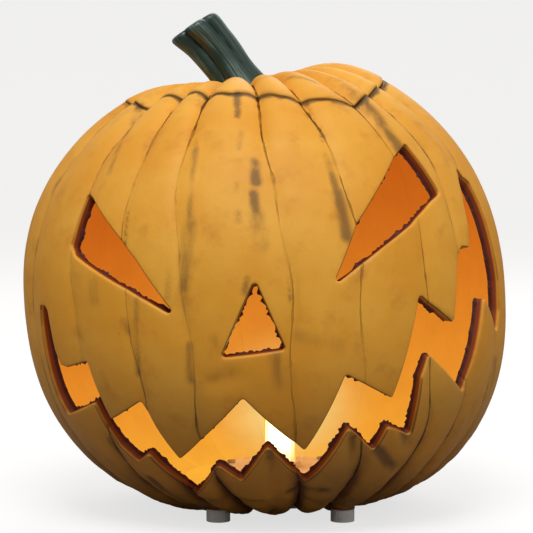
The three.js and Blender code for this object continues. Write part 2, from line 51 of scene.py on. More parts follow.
# ---------------------------------------------------------------------------------------
# Sizes, in metres and degrees
# ---------------------------------------------------------------------------------------
MM = 0.001
MIDDLE_HEIGHT = 112.5 * MM
POLE_LEAN = 5.5
WALL = 6 * MM
FORM = {
    "Half Width": 124 * MM,
    "Half Depth": 119 * MM,
    "Crown Height": 116.5 * MM,
    "Base Drop": 114.5 * MM,
    "Crown Tilt": 10 * MM,
    "Base Tilt": -1.5 * MM,
    "Side Shear": 0.045,
    "Crown Power": 2.17,
    "Base Power": 2.45,
    "Stem Dimple": 14 * MM,
    "Stem Dimple Spread": 16.0,
    "Base Dimple": 8 * MM,
    "Base Dimple Spread": 18.0,
    "Shoulder": 2.6 * MM,
    "Shoulder Spread": 13.0,
}
SHOULDER = {"azimuth": 95, "polar": 26}     # the crown stands higher on this side
MEAN_RADIUS = 115 * MM
LOBE_HEIGHT = {"crown": 5.3 * MM, "side": 1.2 * MM, "base": 4.8 * MM}
INNER_RELIEF = 0.6

# Azimuth of each crease between two lobes, from the front, positive towards +X.
CREASES = [
    -172, -150, -130, -110, -90, -70, -49, -33, -19, 5.5, 23, 41.5, 54, 69, 90, 110, 130, 150, 168,
]

# Carved outlines as (azimuth, latitude) about the leaning pole.
LEFT_EYE = [
    (-49, 30), (-50.5, 20), (-51, 17.5), (-49.5, 15.5), (-38, 10), (-27.5, 4.5), (-20, 0),
    (-30, 14), (-46, 28.5),
]
RIGHT_EYE = [
    (48.5, 35), (52, 21.5), (47.5, 20), (39, 15.5), (30, 11.5), (16, 4), (24.5, 17.5), (42, 32),
]
NOSE = [(-1.5, 7.5), (-11, -9.5), (4, -9)]
MOUTH_UPPER = [
    (-64.5, 3.5), (-61.5, 3.5), (-60.5, 2.5), (-59, -6.5), (-57.5, -10), (-55, -10.5),
    (-47, -9), (-44, -23), (-33, -18.5), (-27.5, -34), (-7, -19), (7, -34), (17.5, -16),
    (29.5, -23), (38, -0.5), (47.5, -8), (48.5, -7.5), (51.5, 4.5), (54.5, 8.5), (57.5, 8),
    (59, 11), (60.5, 17.5), (63, 23),
]
MOUTH_RIGHT_END = [(66, 26.5), (70.5, 22.5), (71.5, 17), (72.5, 4.5), (73.3, -1.5), (73, -8.5)]
MOUTH_LOWER = [
    (71.5, -13.5), (62, -4), (54, -25), (40.5, -14.5), (38, -19.5), (37.5, -27.5),
    (37.5, -33.5), (33, -31.5), (29.5, -30), (27, -36.5), (18.5, -29), (7.5, -45),
    (-2.5, -31.5), (-12, -42), (-17.5, -37), (-33, -49), (-34, -43.5), (-35.5, -38),
    (-37, -32.5), (-42.5, -35), (-46, -30), (-47.5, -25.5), (-48.5, -19), (-63, -22.5),
    (-64.5, -18), (-65, -12), (-65, -1),
]
MOUTH = MOUTH_UPPER + MOUTH_RIGHT_END + MOUTH_LOWER
LID_EDGE = [
    (-170, 58), (-150, 54), (-130, 57), (-110, 55), (-90, 58), (-70, 59), (-51, 56.5),
    (-44, 60.5), (-30, 61), (-20, 61.5), (-6, 57.5), (4, 59), (14, 54.5), (29, 51.5),
    (42, 48.5), (47, 50), (57, 52), (75, 54), (92, 56), (110, 53), (130, 56), (150, 54),
    (170, 57),
]
LID_GAP = 0.3

# Folds pressed in by hand: from (azimuth, latitude) to (azimuth, latitude), then the half width
# and the depth in millimetres.
FOLDS = [
    ((-2, -37), (-5, -63), 3.2, 2.6), ((20, -33), (26, -64), 3.4, 2.4),
    ((-44, -41), (-38, -62), 3.4, 1.6), ((3, -49), (14, -48), 2.6, 1.2),
    ((-29, -51), (-8, -52), 3.0, 1.0), ((29, -37), (36, -43), 3.0, 1.2),
    ((33, -31), (38, -36), 2.6, 0.9), ((-13, -15), (-9, -14), 4.5, 0.9),
    ((62, -30), (66, -52), 3.2, 1.4), ((8, -54), (18, -57), 3.0, 1.1),
    ((-60, -34), (-52, -50), 3.4, 1.4),
]

# Strokes of dark wash, laid out in the same way, with a strength in place of the depth.
WASH_STROKES = [
    ((-19, 61), (-16, 40), 1.3, 0.6), ((-16, 40), (-16, 23), 2.2, 0.7),
    ((-16, 21), (-18, 7), 4.0, 0.8), ((-18, 7), (-18, -1), 4.0, 0.5),
    ((-18, -6), (-19, -14), 2.6, 1.0), ((-3, 58), (-3, 49), 1.8, 1.1),
    ((-2, 44), (-3, 39), 2.0, 0.5), ((-4, 30), (-4, 28), 2.0, 0.6),
    ((-4, 23), (-4, 21), 2.2, 0.8), ((-3, 8), (-4, 5), 2.0, 0.7),
    ((1, 35), (1, 30), 2.8, 1.1), ((0, 27), (0, 23), 2.6, 1.0), ((0, 22), (1, 15), 4.5, 0.7),
    ((24, 53), (22, 39), 1.0, 0.9), ((21, 35), (21, 25), 2.4, 0.8), ((21, 25), (21, 15), 3.6, 0.9),
    ((6, 17), (6, 2), 1.2, 0.8), ((45, 55), (45, 49), 3.6, 0.8), ((45, 49), (45, 34), 4.2, 0.9),
    ((25, 66), (35, 56), 1.6, 0.7), ((-53, 57), (-45, 46), 3.0, 1.0), ((-45, 46), (-43, 35), 2.0, 0.8),
    ((-33, 25), (-33, 16), 1.0, 0.9), ((-21, 14), (-22, 5), 2.0, 0.6), ((-42, 9), (-42, 5), 4.0, 0.6),
    ((-30, 5), (-32, -12), 2.0, 0.8), ((-34, 0), (-33, -2), 3.0, 0.6), ((1, -7), (3, -16), 6.0, 0.6),
    ((-12, -5), (-10, -8), 4.0, 0.5), ((-14, -14), (-9, -13), 3.4, 0.5),
    ((19, -19), (19, -32), 2.0, 0.8), ((-2, -33), (-6, -61), 2.4, 1.2),
    ((20, -32), (26, -64), 2.6, 1.2), ((-44, -41), (-41, -60), 3.0, 1.0),
    ((-29, -50), (-8, -50), 2.6, 0.8),
    ((3, -48), (14, -48), 3.0, 1.1), ((28, -36), (36, -43), 3.2, 1.0), ((33, -30), (38, -36), 3.2, 0.7),
    ((-49, -29), (-45, -38), 3.0, 0.7), ((7, -6), (16, -9), 5.0, 0.4), ((38, -2), (47, -7), 3.0, 0.5),
    ((88, 52), (90, 34), 3.0, 0.8), ((110, 40), (111, 5), 2.6, 0.7), ((131, 50), (130, 18), 3.4, 0.9),
    ((150, 20), (149, -12), 2.4, 0.7), ((169, 52), (168, 30), 3.6, 0.9),
    ((-172, 12), (-171, -20), 2.6, 0.8),
    ((-150, 50), (-150, 24), 3.2, 0.9), ((-130, 15), (-130, -14), 2.6, 0.7),
    ((-110, 50), (-110, 28), 3.0, 0.8),
    ((-90, 24), (-90, -10), 2.2, 0.7), ((-70, 52), (-70, 30), 2.4, 0.8),
    ((72, -20), (76, -48), 3.0, 0.8),
    ((110, -30), (108, -60), 3.2, 0.9), ((150, -30), (152, -62), 3.2, 0.9),
    ((-110, -28), (-108, -60), 3.2, 0.9),
    ((-150, -30), (-152, -62), 3.2, 0.9), ((-78, -26), (-74, -55), 3.0, 0.8),
]
LID_RISE = 0.8 * MM

LAMP_X = 8 * MM
SEAT_HEIGHT = 9.5 * MM
RECESS_RADIUS = 45 * MM
HOLE_RADIUS = 36 * MM
RING_TOP = 16 * MM
RING_RADIUS = 50 * MM
FOOT_CIRCLE = 54.5 * MM
FOOT_AZIMUTHS = [-35, 35, 130, -130]
FOOT_POCKET = {"radius": 6.3 * MM, "top": 6.5 * MM}

OUTER_SPACING = 1.75 * MM
INNER_SPACING = 2.9 * MM
EDGE_SPACING = 1.15 * MM
CORNER_RADIUS = 1.3 * MM
LIP = 1.1 * MM
LID_CORNER_RADIUS = 5 * MM
FLASH_REACH = 1.8 * MM
SEED = 7


# ---------------------------------------------------------------------------------------
# Node trees: sockets that take part in ordinary arithmetic
# ---------------------------------------------------------------------------------------
class Value:
    """A number's socket in a node tree, or a fixed number, that adds and multiplies as Python does."""

    def __init__(self, tree, socket):
        self.tree = tree
        self.socket = socket

    def math(self, operation, *others, swapped=False):
        operands = [self, *others]
        if swapped:
            operands.reverse()
        return self.tree.math(operation, *operands)

    def __add__(self, other):
        return self.math("ADD", other)

    def __sub__(self, other):
        return self.math("SUBTRACT", other)

    def __rsub__(self, other):
        return self.math("SUBTRACT", other, swapped=True)

    def __mul__(self, other):
        return self.math("MULTIPLY", other)

    def __truediv__(self, other):
        return self.math("DIVIDE", other)

    def __rtruediv__(self, other):
        return self.math("DIVIDE", other, swapped=True)

    def __pow__(self, other):
        return self.math("POWER", other)

    def __neg__(self):
        return self.math("MULTIPLY", -1)

    def __abs__(self):
        return self.math("ABSOLUTE")

    __radd__ = __add__
    __rmul__ = __mul__


class Tree:
    """Adds nodes to a shader or geometry tree."""

    def __init__(self, tree):
        self.tree = tree

    def add(self, kind, settings=None, inputs=None, output=0):
        """A node of that kind: its settings first, then the values or links of its sockets."""
        node = self.tree.nodes.new(kind)
        for name, value in (settings or {}).items():
            if name == "stops":
                self.set_stops(node.color_ramp, value)
            else:
                setattr(node, name, value)
        for key, value in (inputs or {}).items():
            self.feed(node.inputs[key], value)
        return Value(self, node.outputs[output])

    def feed(self, socket, value):
        if isinstance(value, Value):
            self.tree.links.new(value.socket, socket)
        elif isinstance(value, bpy.types.NodeSocket):
            self.tree.links.new(value, socket)
        else:
            socket.default_value = value

    @staticmethod
    def set_stops(ramp, stops):
        while len(ramp.elements) > 1:
            ramp.elements.remove(ramp.elements[-1])
        for index, (place, colour) in enumerate(stops):
            stop = ramp.elements[0] if index == 0 else ramp.elements.new(place)
            stop.position = place
            stop.color = colour

    def math(self, operation, *operands):
        inputs = dict(enumerate(operands))
        return self.add("ShaderNodeMath", {"operation": operation}, inputs)

    def vector(self, operation, *operands, output=0):
        inputs = dict(enumerate(operands))
        return self.add("ShaderNodeVectorMath", {"operation": operation}, inputs, output)

    def scaled(self, vector, factor):
        settings = {"operation": "SCALE"}
        return self.add("ShaderNodeVectorMath", settings, {"Vector": vector, "Scale": factor})

    def parts(self, vector):
        """The three coordinates of a vector."""
        first = self.add("ShaderNodeSeparateXYZ", None, {0: vector})
        return [Value(self, output) for output in first.socket.node.outputs]

    def join(self, x, y, z):
        return self.add("ShaderNodeCombineXYZ", None, {0: x, 1: y, 2: z})

    def limited(self, value, low=0.0, high=1.0):
        return self.add("ShaderNodeClamp", None, {0: value, 1: low, 2: high})

    def smooth(self, value, low, high):
        """0 below low, 1 above high and a smooth step between."""
        inputs = {"Value": value, "From Min": low, "From Max": high}
        return self.add("ShaderNodeMapRange", {"interpolation_type": "SMOOTHSTEP"}, inputs)

    def noise(self, vector, scale, detail=3.0, roughness=0.5, seed=0.0, distortion=0.0):
        inputs = {"Vector": vector, "W": seed, "Scale": scale, "Detail": detail}
        inputs["Roughness"] = roughness
        inputs["Distortion"] = distortion
        return self.add("ShaderNodeTexNoise", {"noise_dimensions": "4D"}, inputs)

    def mix(self, factor, first, second):
        """A colour between two, by the factor."""
        inputs = {0: factor, 6: first, 7: second}
        return self.add("ShaderNodeMix", {"data_type": "RGBA"}, inputs, 2)

    # The same names as in Numbers, so that one formula serves numbers and sockets.
    def root(self, value):
        return self.math("SQRT", value)

    def size(self, value):
        return self.math("ABSOLUTE", value)

    def power(self, value, exponent):
        return self.math("POWER", value, exponent)

    def exponent(self, value):
        return self.math("EXPONENT", value)

    def angle(self, cosine):
        return self.math("ARCCOSINE", cosine)

    def above(self, value):
        return self.math("GREATER_THAN", value, 0.0)


class Numbers:
    """The same sums on numpy arrays."""

    root = staticmethod(np.sqrt)
    size = staticmethod(np.abs)
    power = staticmethod(np.power)
    exponent = staticmethod(np.exp)

    @staticmethod
    def angle(cosine):
        return np.arccos(np.clip(cosine, -1, 1))

    @staticmethod
    def above(value):
        return (value > 0) * 1.0


def shoulder_direction(lean):
    """Upright direction of the crown's higher side."""
    azimuth = math.radians(SHOULDER["azimuth"])
    polar = math.radians(SHOULDER["polar"])
    x = math.sin(polar) * math.sin(azimuth)
    y = -math.sin(polar) * math.cos(azimuth)
    z = math.cos(polar)
    return x * math.cos(lean) - z * math.sin(lean), y, x * math.sin(lean) + z * math.cos(lean)


def plain_radius(sums, form, direction, lean=math.radians(POLE_LEAN)):
    """How far the body's unlobed surface lies from its middle along a direction."""
    x, y, z = direction
    height = sums.size(z) + 1e-6
    upper = sums.above(z)
    crown_rise = form["Crown Height"] + form["Crown Tilt"] * x
    base_rise = form["Base Drop"] + form["Base Tilt"] * x
    rise = base_rise + (crown_rise - base_rise) * upper
    power = form["Base Power"] + (form["Crown Power"] - form["Base Power"]) * upper
    across = (x + form["Side Shear"] * z) / form["Half Width"]
    deep = y / form["Half Depth"]
    round_part = sums.power(sums.root(across * across + deep * deep) + 1e-6, power)
    rise_part = sums.power(height / rise, power)
    plain = sums.power(round_part + rise_part, -1 / power)
    along_pole = z * math.cos(lean) - x * math.sin(lean)
    polar = sums.angle(along_pole) * math.degrees(1)
    from_stem = polar / form["Stem Dimple Spread"]
    from_base = (180 - polar) / form["Base Dimple Spread"]
    swell_x, swell_y, swell_z = shoulder_direction(lean)
    towards = x * swell_x + y * swell_y + z * swell_z
    from_swell = sums.angle(towards) * math.degrees(1) / form["Shoulder Spread"]
    swell = form["Shoulder"] * sums.exponent(-1 * from_swell * from_swell)
    stem_dip = form["Stem Dimple"] * sums.exponent(-1 * from_stem * from_stem)
    base_dip = form["Base Dimple"] * sums.exponent(-1 * from_base * from_base)
    return plain + swell - stem_dip - base_dip


# ---------------------------------------------------------------------------------------
# Directions about the leaning pole
# ---------------------------------------------------------------------------------------
def unit(vectors):
    return vectors / np.linalg.norm(vectors, axis=-1, keepdims=True)


def pole_direction(azimuth, polar):
    """Unit directions in the pole's own frame, whose z is the pole."""
    a = np.radians(azimuth)
    p = np.radians(polar)
    return np.stack([np.sin(p) * np.sin(a), -np.sin(p) * np.cos(a), np.cos(p)], -1)


def pole_angles(directions):
    """Azimuth and polar angle, in degrees, of directions in the pole's own frame."""
    x, y, z = np.moveaxis(directions, -1, 0)
    return np.degrees(np.arctan2(x, -y)), np.degrees(np.arccos(np.clip(z, -1, 1)))


LEAN_TURN = np.array(Matrix.Rotation(math.radians(-POLE_LEAN), 3, "Y"))


def stand(directions):
    """From the pole's own frame to the object's, where the pole leans towards -X."""
    return directions @ LEAN_TURN.T


def lie(directions):
    """From the object's frame to the pole's own."""
    return directions @ LEAN_TURN


def outline_directions(outline):
    azimuth, latitude = np.array(outline, float).T
    return pole_direction(azimuth, 90 - latitude)


def great_arc(start, end, spacing):
    """Directions from start up to, and not with, end, along the shortest way."""
    angle = math.acos(min(1, float(start @ end)))
    count = max(1, round(angle * MEAN_RADIUS / spacing))
    share = np.arange(count)[:, None] / count
    return (start * np.sin((1 - share) * angle) + end * np.sin(share * angle)) / math.sin(angle)


def rounded_loop(outline, corner_radius, spacing):
    """The outline's closed loop of directions, its corners rounded to the radius."""
    corners = outline_directions(outline)
    corner_arcs = []
    for index, corner in enumerate(corners):
        before = corners[index - 1]
        after = corners[(index + 1) % len(corners)]
        legs = []
        reach = []
        for other in (before, after):
            flat = other / (other @ corner) - corner
            reach.append(np.linalg.norm(flat))
            legs.append(flat / reach[-1])
        half_angle = math.acos(np.clip(legs[0] @ legs[1], -1, 1)) / 2
        tangent = min(corner_radius / MEAN_RADIUS / math.tan(half_angle), 0.45 * min(reach))
        radius = tangent * math.tan(half_angle)
        centre = corner + unit(legs[0] + legs[1]) * radius / math.sin(half_angle)
        first = (corner + legs[0] * tangent - centre) / radius
        last = (corner + legs[1] * tangent - centre) / radius
        turn = math.acos(np.clip(first @ last, -1, 1))
        if turn < 0.06:
            corner_arcs.append(corner[None])
            continue
        count = max(2, round(turn * radius * MEAN_RADIUS / (0.7 * spacing)) + 1)
        share = np.linspace(0, 1, count)[:, None]
        arc = first * np.sin((1 - share) * turn) + last * np.sin(share * turn)
        corner_arcs.append(unit(centre + arc * radius / math.sin(turn)))
    loop = []
    for index, arc in enumerate(corner_arcs):
        following = corner_arcs[(index + 1) % len(corner_arcs)]
        loop.extend(arc[:-1])
        loop.extend(great_arc(arc[-1], following[0], spacing))
    return np.array(loop)


def side_of_loop(loop):
    """Unit normals of a loop on the sphere, to the left as the loop runs."""
    tangent = unit(np.roll(loop, -1, 0) - np.roll(loop, 1, 0))
    return unit(np.cross(loop, tangent))


def spread_points(spacing):
    """Directions spread evenly over the whole sphere, about that far apart on the body."""
    area = spacing * spacing * math.sqrt(3) / 2
    count = int(4 * math.pi * MEAN_RADIUS**2 / area)
    index = np.arange(count) + 0.5
    polar = np.degrees(np.arccos(1 - 2 * index / count))
    golden_turn = 180 * (3 - math.sqrt(5))
    return pole_direction(index * golden_turn, polar)


# ---------------------------------------------------------------------------------------
# Lobes: the crease lines wander a little, and every crease sits at a whole lobe number
# ---------------------------------------------------------------------------------------
CREASE_LINE = np.array(CREASES + [CREASES[0] + 360], float)


def wander(azimuth, polar):
    """How far, in degrees, a crease strays from its meridian."""
    a = np.radians(azimuth)
    p = np.radians(polar)
    return 1.1 * np.sin(5.3 * p + 3 * a) * np.sin(p) + 0.5 * np.sin(13 * p + 7 * a) * np.sin(p)


def lobe_number(azimuth, polar):
    straight = azimuth - wander(azimuth, polar)
    turned = (straight - CREASE_LINE[0]) % 360 + CREASE_LINE[0]
    return np.interp(turned, CREASE_LINE, np.arange(len(CREASE_LINE)))


def lobe_width(number):
    """The width of the lobe, in degrees, blended so that neighbours meet."""
    widths = np.diff(CREASE_LINE)
    middles = np.arange(len(widths)) + 0.5
    wrapped = np.concatenate([[widths[-1]], widths, [widths[0]]])
    places = np.concatenate([[middles[0] - 1], middles, [middles[-1] + 1]])
    return np.interp(number, places, wrapped)


def smooth_step(low, high, value):
    share = np.clip((value - low) / (high - low), 0, 1)
    return share * share * (3 - 2 * share)


def lobe_relief(azimuth, polar):
    """How far the lobes lift the surface above its plain form."""
    number = lobe_number(azimuth, polar)
    share = number % 1
    profile = np.sin(np.pi * np.clip(share, 0, 1)) ** 0.7 - 0.62
    height = LOBE_HEIGHT["side"]
    height = height + (LOBE_HEIGHT["crown"] - height) * (1 - smooth_step(20, 62, polar))
    height = height + (LOBE_HEIGHT["base"] - height) * smooth_step(118, 150, polar)
    near_pole = np.clip(np.sin(np.radians(polar)) / 0.35, 0, 1)
    return profile * height * near_pole * np.sqrt(lobe_width(number) / 18)


def crease_distance(azimuth, polar):
    """Distance, in metres, along the surface to the nearest crease."""
    number = lobe_number(azimuth, polar)
    share = np.abs(number - np.round(number))
    return np.radians(share * lobe_width(number)) * np.sin(np.radians(polar)) * MEAN_RADIUS


def outer_radius(directions, relief_share=1.0):
    """The body's radius along directions given in the pole's own frame."""
    standing = stand(directions)
    azimuth, polar = pole_angles(directions)
    plain = plain_radius(Numbers, FORM, np.moveaxis(standing, -1, 0))
    return plain + relief_share * lobe_relief(azimuth, polar)


# ---------------------------------------------------------------------------------------
# Surface layout: a fine net of triangles in the plane of a stereographic projection
# ---------------------------------------------------------------------------------------
def flatten(directions, top):
    """Stereographic projection about the top or the bottom of the pole."""
    x, y, z = np.moveaxis(directions, -1, 0)
    if top:
        return np.stack([x, y], -1) / (1 + z)[..., None]
    return np.stack([y, x], -1) / (1 - z)[..., None]


def inside(points, loop):
    """True where a flat point lies inside a closed flat loop."""
    found = np.zeros(len(points), bool)
    low = loop.min(0)
    high = loop.max(0)
    near = np.all((points > low) & (points < high), 1)
    x, y = points[near].T
    hit = np.zeros(len(x), bool)
    for (x0, y0), (x1, y1) in zip(loop, np.roll(loop, -1, 0)):
        if y0 != y1:
            crosses = (y0 > y) != (y1 > y)
            hit ^= crosses & (x < (x1 - x0) * (y - y0) / (y1 - y0) + x0)
    found[near] = hit
    return found


def nearest_gap(points, others):
    tree = KDTree(len(others))
    for index, point in enumerate(others):
        tree.insert(point, index)
    tree.balance()
    return np.array([tree.find(point)[2] for point in points])


def crease_points(spacing, polar_range):
    """Directions along every crease line, so that the net has edges in the creases."""
    step = math.degrees(0.8 * spacing / MEAN_RADIUS)
    rows = []
    for azimuth in CREASES:
        polar = np.arange(polar_range[0], polar_range[1], step)
        azimuths = azimuth + wander(azimuth, polar)
        azimuths = azimuth + wander(azimuths, polar)
        rows.append(pole_direction(azimuths, polar))
    return np.concatenate(rows)


def net(boundary, holes, spacing, top):
    """Directions and triangles filling the boundary apart from the holes.
    The loops' own points come first, in order."""
    loops = [boundary, *holes]
    loop_points = np.concatenate(loops)
    fill = spread_points(spacing)
    creases = crease_points(spacing, (12, 168))
    apart = nearest_gap(fill, creases) > 0.62 * spacing / MEAN_RADIUS
    fill = np.concatenate([fill[apart], creases])
    flat_fill = flatten(fill, top)
    keep = inside(flat_fill, flatten(boundary, top))
    for hole in holes:
        keep &= ~inside(flat_fill, flatten(hole, top))
    fill = fill[keep]
    fill = fill[nearest_gap(fill, loop_points) > 0.6 * spacing / MEAN_RADIUS]
    points = np.concatenate([loop_points, fill])
    flat = flatten(points, top)
    edges = []
    start = 0
    for loop in loops:
        count = len(loop)
        edges.extend((start + i, start + (i + 1) % count) for i in range(count))
        start += count
    made = delaunay_2d_cdt([Vector(p) for p in flat], edges, [], 0, 1e-9)
    origin = [ids[0] if ids else -1 for ids in made[3]]
    triangles = np.array([[origin[i] for i in face] for face in made[2]])
    triangles = triangles[np.all(triangles >= 0, 1)]
    centres = flat[triangles].mean(1)
    keep = inside(centres, flatten(boundary, top))
    for hole in holes:
        keep &= ~inside(centres, flatten(hole, top))
    triangles = triangles[keep]
    a, b, c = flat[triangles].transpose(1, 0, 2)
    ab = b - a
    ac = c - a
    turned = ab[:, 0] * ac[:, 1] - ab[:, 1] * ac[:, 0] < 0
    triangles[turned] = triangles[turned][:, ::-1]
    return points, triangles


class Layout:
    """Collects vertices, each with its direction, its depth below the skin, and maybe a fixed place."""

    def __init__(self):
        self.places = []
        self.depths = []
        self.fixed = []
        self.faces = []
        self.count = 0

    def put(self, points, depth=0.0, fixed=False):
        """Adds points and returns their numbers. Free points are directions in the pole's frame."""
        size = len(points)
        self.places.append(points if fixed else stand(points))
        self.depths.append(np.broadcast_to(np.asarray(depth, float), size))
        self.fixed.append(np.full(size, float(fixed)))
        numbers = np.arange(self.count, self.count + size)
        self.count += size
        return numbers

    def band(self, first, second):
        """Quads from one closed ring to a deeper one of the same length, facing left of their run."""
        after_first = np.roll(first, -1)
        after_second = np.roll(second, -1)
        self.faces.extend(np.stack([first, after_first, after_second, second], 1).tolist())

    def bands(self, rings):
        for first, second in zip(rings, rings[1:]):
            self.band(first, second)

    def cap(self, ring, centre):
        self.faces.extend([int(a), int(b), int(centre)] for a, b in zip(ring, np.roll(ring, -1)))

    def surface(self, boundary, holes, spacing, top, depth, facing_in=False):
        """A net over the sphere at one depth. Returns each loop's ring of vertex numbers."""
        points, triangles = net(boundary, holes, spacing, top)
        numbers = self.put(points, depth)
        if facing_in:
            triangles = triangles[:, ::-1]
        self.faces.extend(numbers[triangles].tolist())
        rings = []
        start = 0
        for loop in [boundary, *holes]:
            rings.append(numbers[start:start + len(loop)])
            start += len(loop)
        return rings


class Cut:
    """A cut through the wall along a closed loop, left of which is the open side."""

    def __init__(self, loop, random, lip=LIP, ragged=True):
        self.loop = loop
        self.side = side_of_loop(loop)
        self.lip = self.lip_reach(lip)
        self.rag = self.ragged_reach(random) if ragged else np.zeros(len(loop))

    def shifted(self, offset):
        """The loop's directions moved that far into the open side."""
        offset = np.broadcast_to(offset, len(self.loop))
        return unit(self.loop + self.side * (offset / MEAN_RADIUS)[:, None])

    def lip_reach(self, lip):
        """The lip's radius at each point, less at tips too narrow for it."""
        step = np.roll(self.loop, -1, 0) - self.loop
        length = np.linalg.norm(step, axis=1)
        tangent = step / length[:, None]
        bend = tangent - np.roll(tangent, 1, 0)
        turning = -np.sum(bend * self.side, 1) / length / MEAN_RADIUS
        limit = np.where(turning > 1, 0.7 / np.maximum(turning, 1), lip)
        reach = np.minimum(limit, lip)
        for _ in range(3):
            reach = np.minimum(reach, (np.roll(reach, 1) + np.roll(reach, -1)) / 2 + 0.15 * MM)
        return np.maximum(reach, 0.1 * MM)

    def ragged_reach(self, random):
        """How far the torn inner edge stands into the opening at each point."""
        count = len(self.loop)
        coarse = random.random(count)
        coarse = (coarse + np.roll(coarse, 1) + np.roll(coarse, 2) + np.roll(coarse, 3)) / 4
        fine = random.random(count)
        return FLASH_REACH * np.clip(1.7 * (coarse - 0.4) + 0.8 * fine**4, 0, 1)

    def skin_loop(self):
        return self.shifted(-self.lip)

    def inner_loop(self):
        return self.shifted(0.3 * self.rag)

    def build(self, layout, skin_ring, inner_ring, wall=WALL):
        """The rounded lip, the cut wall and its torn inner edge."""
        rings = [skin_ring]
        for turn in np.radians([30, 60, 90]):
            offset = self.lip * (math.sin(turn) - 1)
            rings.append(layout.put(self.shifted(offset), self.lip * (1 - math.cos(turn))))
        for share in (0.36, 0.56, 0.74):
            rings.append(layout.put(self.loop, share * wall))
        rings.append(layout.put(self.shifted(0.75 * self.rag), 0.86 * wall))
        rings.append(layout.put(self.shifted(self.rag), 0.93 * wall))
        rings.append(inner_ring)
        layout.bands(rings)


# ---------------------------------------------------------------------------------------
# The shell's base: recess, seat ring and foot pockets
# ---------------------------------------------------------------------------------------
def ring_points(radius, height, x=0.0, y=0.0, count=None):
    """A level circle, running counterclockwise as seen from below."""
    count = count or round(2 * math.pi * radius / OUTER_SPACING)
    turn = -2 * math.pi * np.arange(count) / count
    height = np.broadcast_to(height, count)
    return np.stack([x + radius * np.cos(turn), y + radius * np.sin(turn), height], 1)


def circle_on_body(radius, x=0.0, y=0.0, depth=0.0, relief_share=1.0, count=None):
    """Directions, in the pole's frame, where the underside meets an upright cylinder."""
    middle = np.array([0, 0, MIDDLE_HEIGHT])
    low = ring_points(radius, -10 * MM, x, y, count)
    high = ring_points(radius, 60 * MM, x, y, count)
    for _ in range(30):
        half = (low + high) / 2
        away = half - middle
        directions = lie(unit(away))
        reach = outer_radius(directions, relief_share) - depth
        outside = (np.linalg.norm(away, axis=1) > reach)[:, None]
        low = np.where(outside, half, low)
        high = np.where(outside, high, half)
    return lie(unit((low + high) / 2 - middle))


def foot_centres():
    for azimuth in FOOT_AZIMUTHS:
        turn = math.radians(azimuth)
        x = LAMP_X + FOOT_CIRCLE * math.sin(turn)
        yield x, -FOOT_CIRCLE * math.cos(turn)


# ---------------------------------------------------------------------------------------
# Growing the layout into the body
# ---------------------------------------------------------------------------------------
def new_socket(tree, name, kind, value=None):
    socket = tree.interface.new_socket(name=name, in_out="INPUT", socket_type=kind)
    if value is not None:
        socket.default_value = value
    return socket


def set_inputs(modifier, values):
    """Sets a modifier's named inputs, each by its socket's identifier."""
    for item in modifier.node_group.interface.items_tree:
        if item.item_type == "SOCKET" and item.in_out == "INPUT" and item.name in values:
            modifier[item.identifier] = values[item.name]


def start_geometry_tree(name, sizes):
    """A geometry tree with a named input for each size, and its group input node."""
    group = bpy.data.node_groups.new(name, "GeometryNodeTree")
    new_socket(group, "Geometry", "NodeSocketGeometry")
    for size_name, value in sizes.items():
        new_socket(group, size_name, "NodeSocketFloat", value)
    new_socket(group, "Material", "NodeSocketMaterial")
    group.interface.new_socket(name="Geometry", in_out="OUTPUT", socket_type="NodeSocketGeometry")
    tree = Tree(group)
    entry = group.nodes.new("NodeGroupInput")
    sockets = {output.name: Value(tree, output) for output in entry.outputs if output.name}
    return tree, sockets


def end_geometry_tree(tree, geometry, material):
    real = tree.add("GeometryNodeRealizeInstances", None, {"Geometry": geometry})
    painted = tree.add("GeometryNodeSetMaterial", None, {"Geometry": real, "Material": material})
    leave = tree.tree.nodes.new("NodeGroupOutput")
    tree.tree.links.new(painted.socket, leave.inputs["Geometry"])


def attribute(tree, name, kind="FLOAT"):
    return tree.add("GeometryNodeInputNamedAttribute", {"data_type": kind}, {"Name": name})


BODY_SIZES = {
    **FORM,
    "Middle Height": MIDDLE_HEIGHT,
    "Wall": WALL,
    "Inner Relief": INNER_RELIEF,
    "Lump Height": 0.9 * MM,
    "Lump Scale": 26.0,
    "Knob Height": 2.6 * MM,
    "Knob Scale": 62.0,
    "Rise": 0.0,
    "Seed": float(SEED),
}


def body_tree():
    """Moves each laid-out direction to its place on the body, lobes, creases and lumps included."""
    tree, size = start_geometry_tree("grow_body", BODY_SIZES)
    direction = tree.add("GeometryNodeInputPosition")
    x, y, z = tree.parts(direction)
    plain = plain_radius(tree, size, (x, y, z))
    depth = attribute(tree, "depth")
    relief = attribute(tree, "relief")
    groove = attribute(tree, "groove")
    low_share = attribute(tree, "low_share")
    through = tree.limited(depth / size["Wall"])
    outside = 1 - through
    kept_relief = relief * (1 - through * (1 - size["Inner Relief"]))
    lumps = tree.noise(direction, size["Lump Scale"] / 10, 2.0, 0.5, size["Seed"])
    lump = (lumps - 0.5) * size["Lump Height"]
    knobs = tree.noise(direction, size["Knob Scale"] / 5, 3.0, 0.6, size["Seed"] + 3)
    knob = (knobs - 0.75) * size["Knob Height"] * low_share
    radius = plain + kept_relief - depth + (lump + knob - groove + size["Rise"]) * outside
    grown = tree.scaled(direction, radius)
    lifted = tree.vector("ADD", grown, tree.join(0.0, 0.0, size["Middle Height"]))
    is_fixed = attribute(tree, "fixed")
    free = tree.add("FunctionNodeCompare", {"operation": "LESS_THAN"}, {0: is_fixed, 1: 0.5})
    inputs = {"Geometry": size["Geometry"], "Selection": free, "Position": lifted}
    placed = tree.add("GeometryNodeSetPosition", None, inputs)
    end_geometry_tree(tree, placed, size["Material"])
    return tree.tree


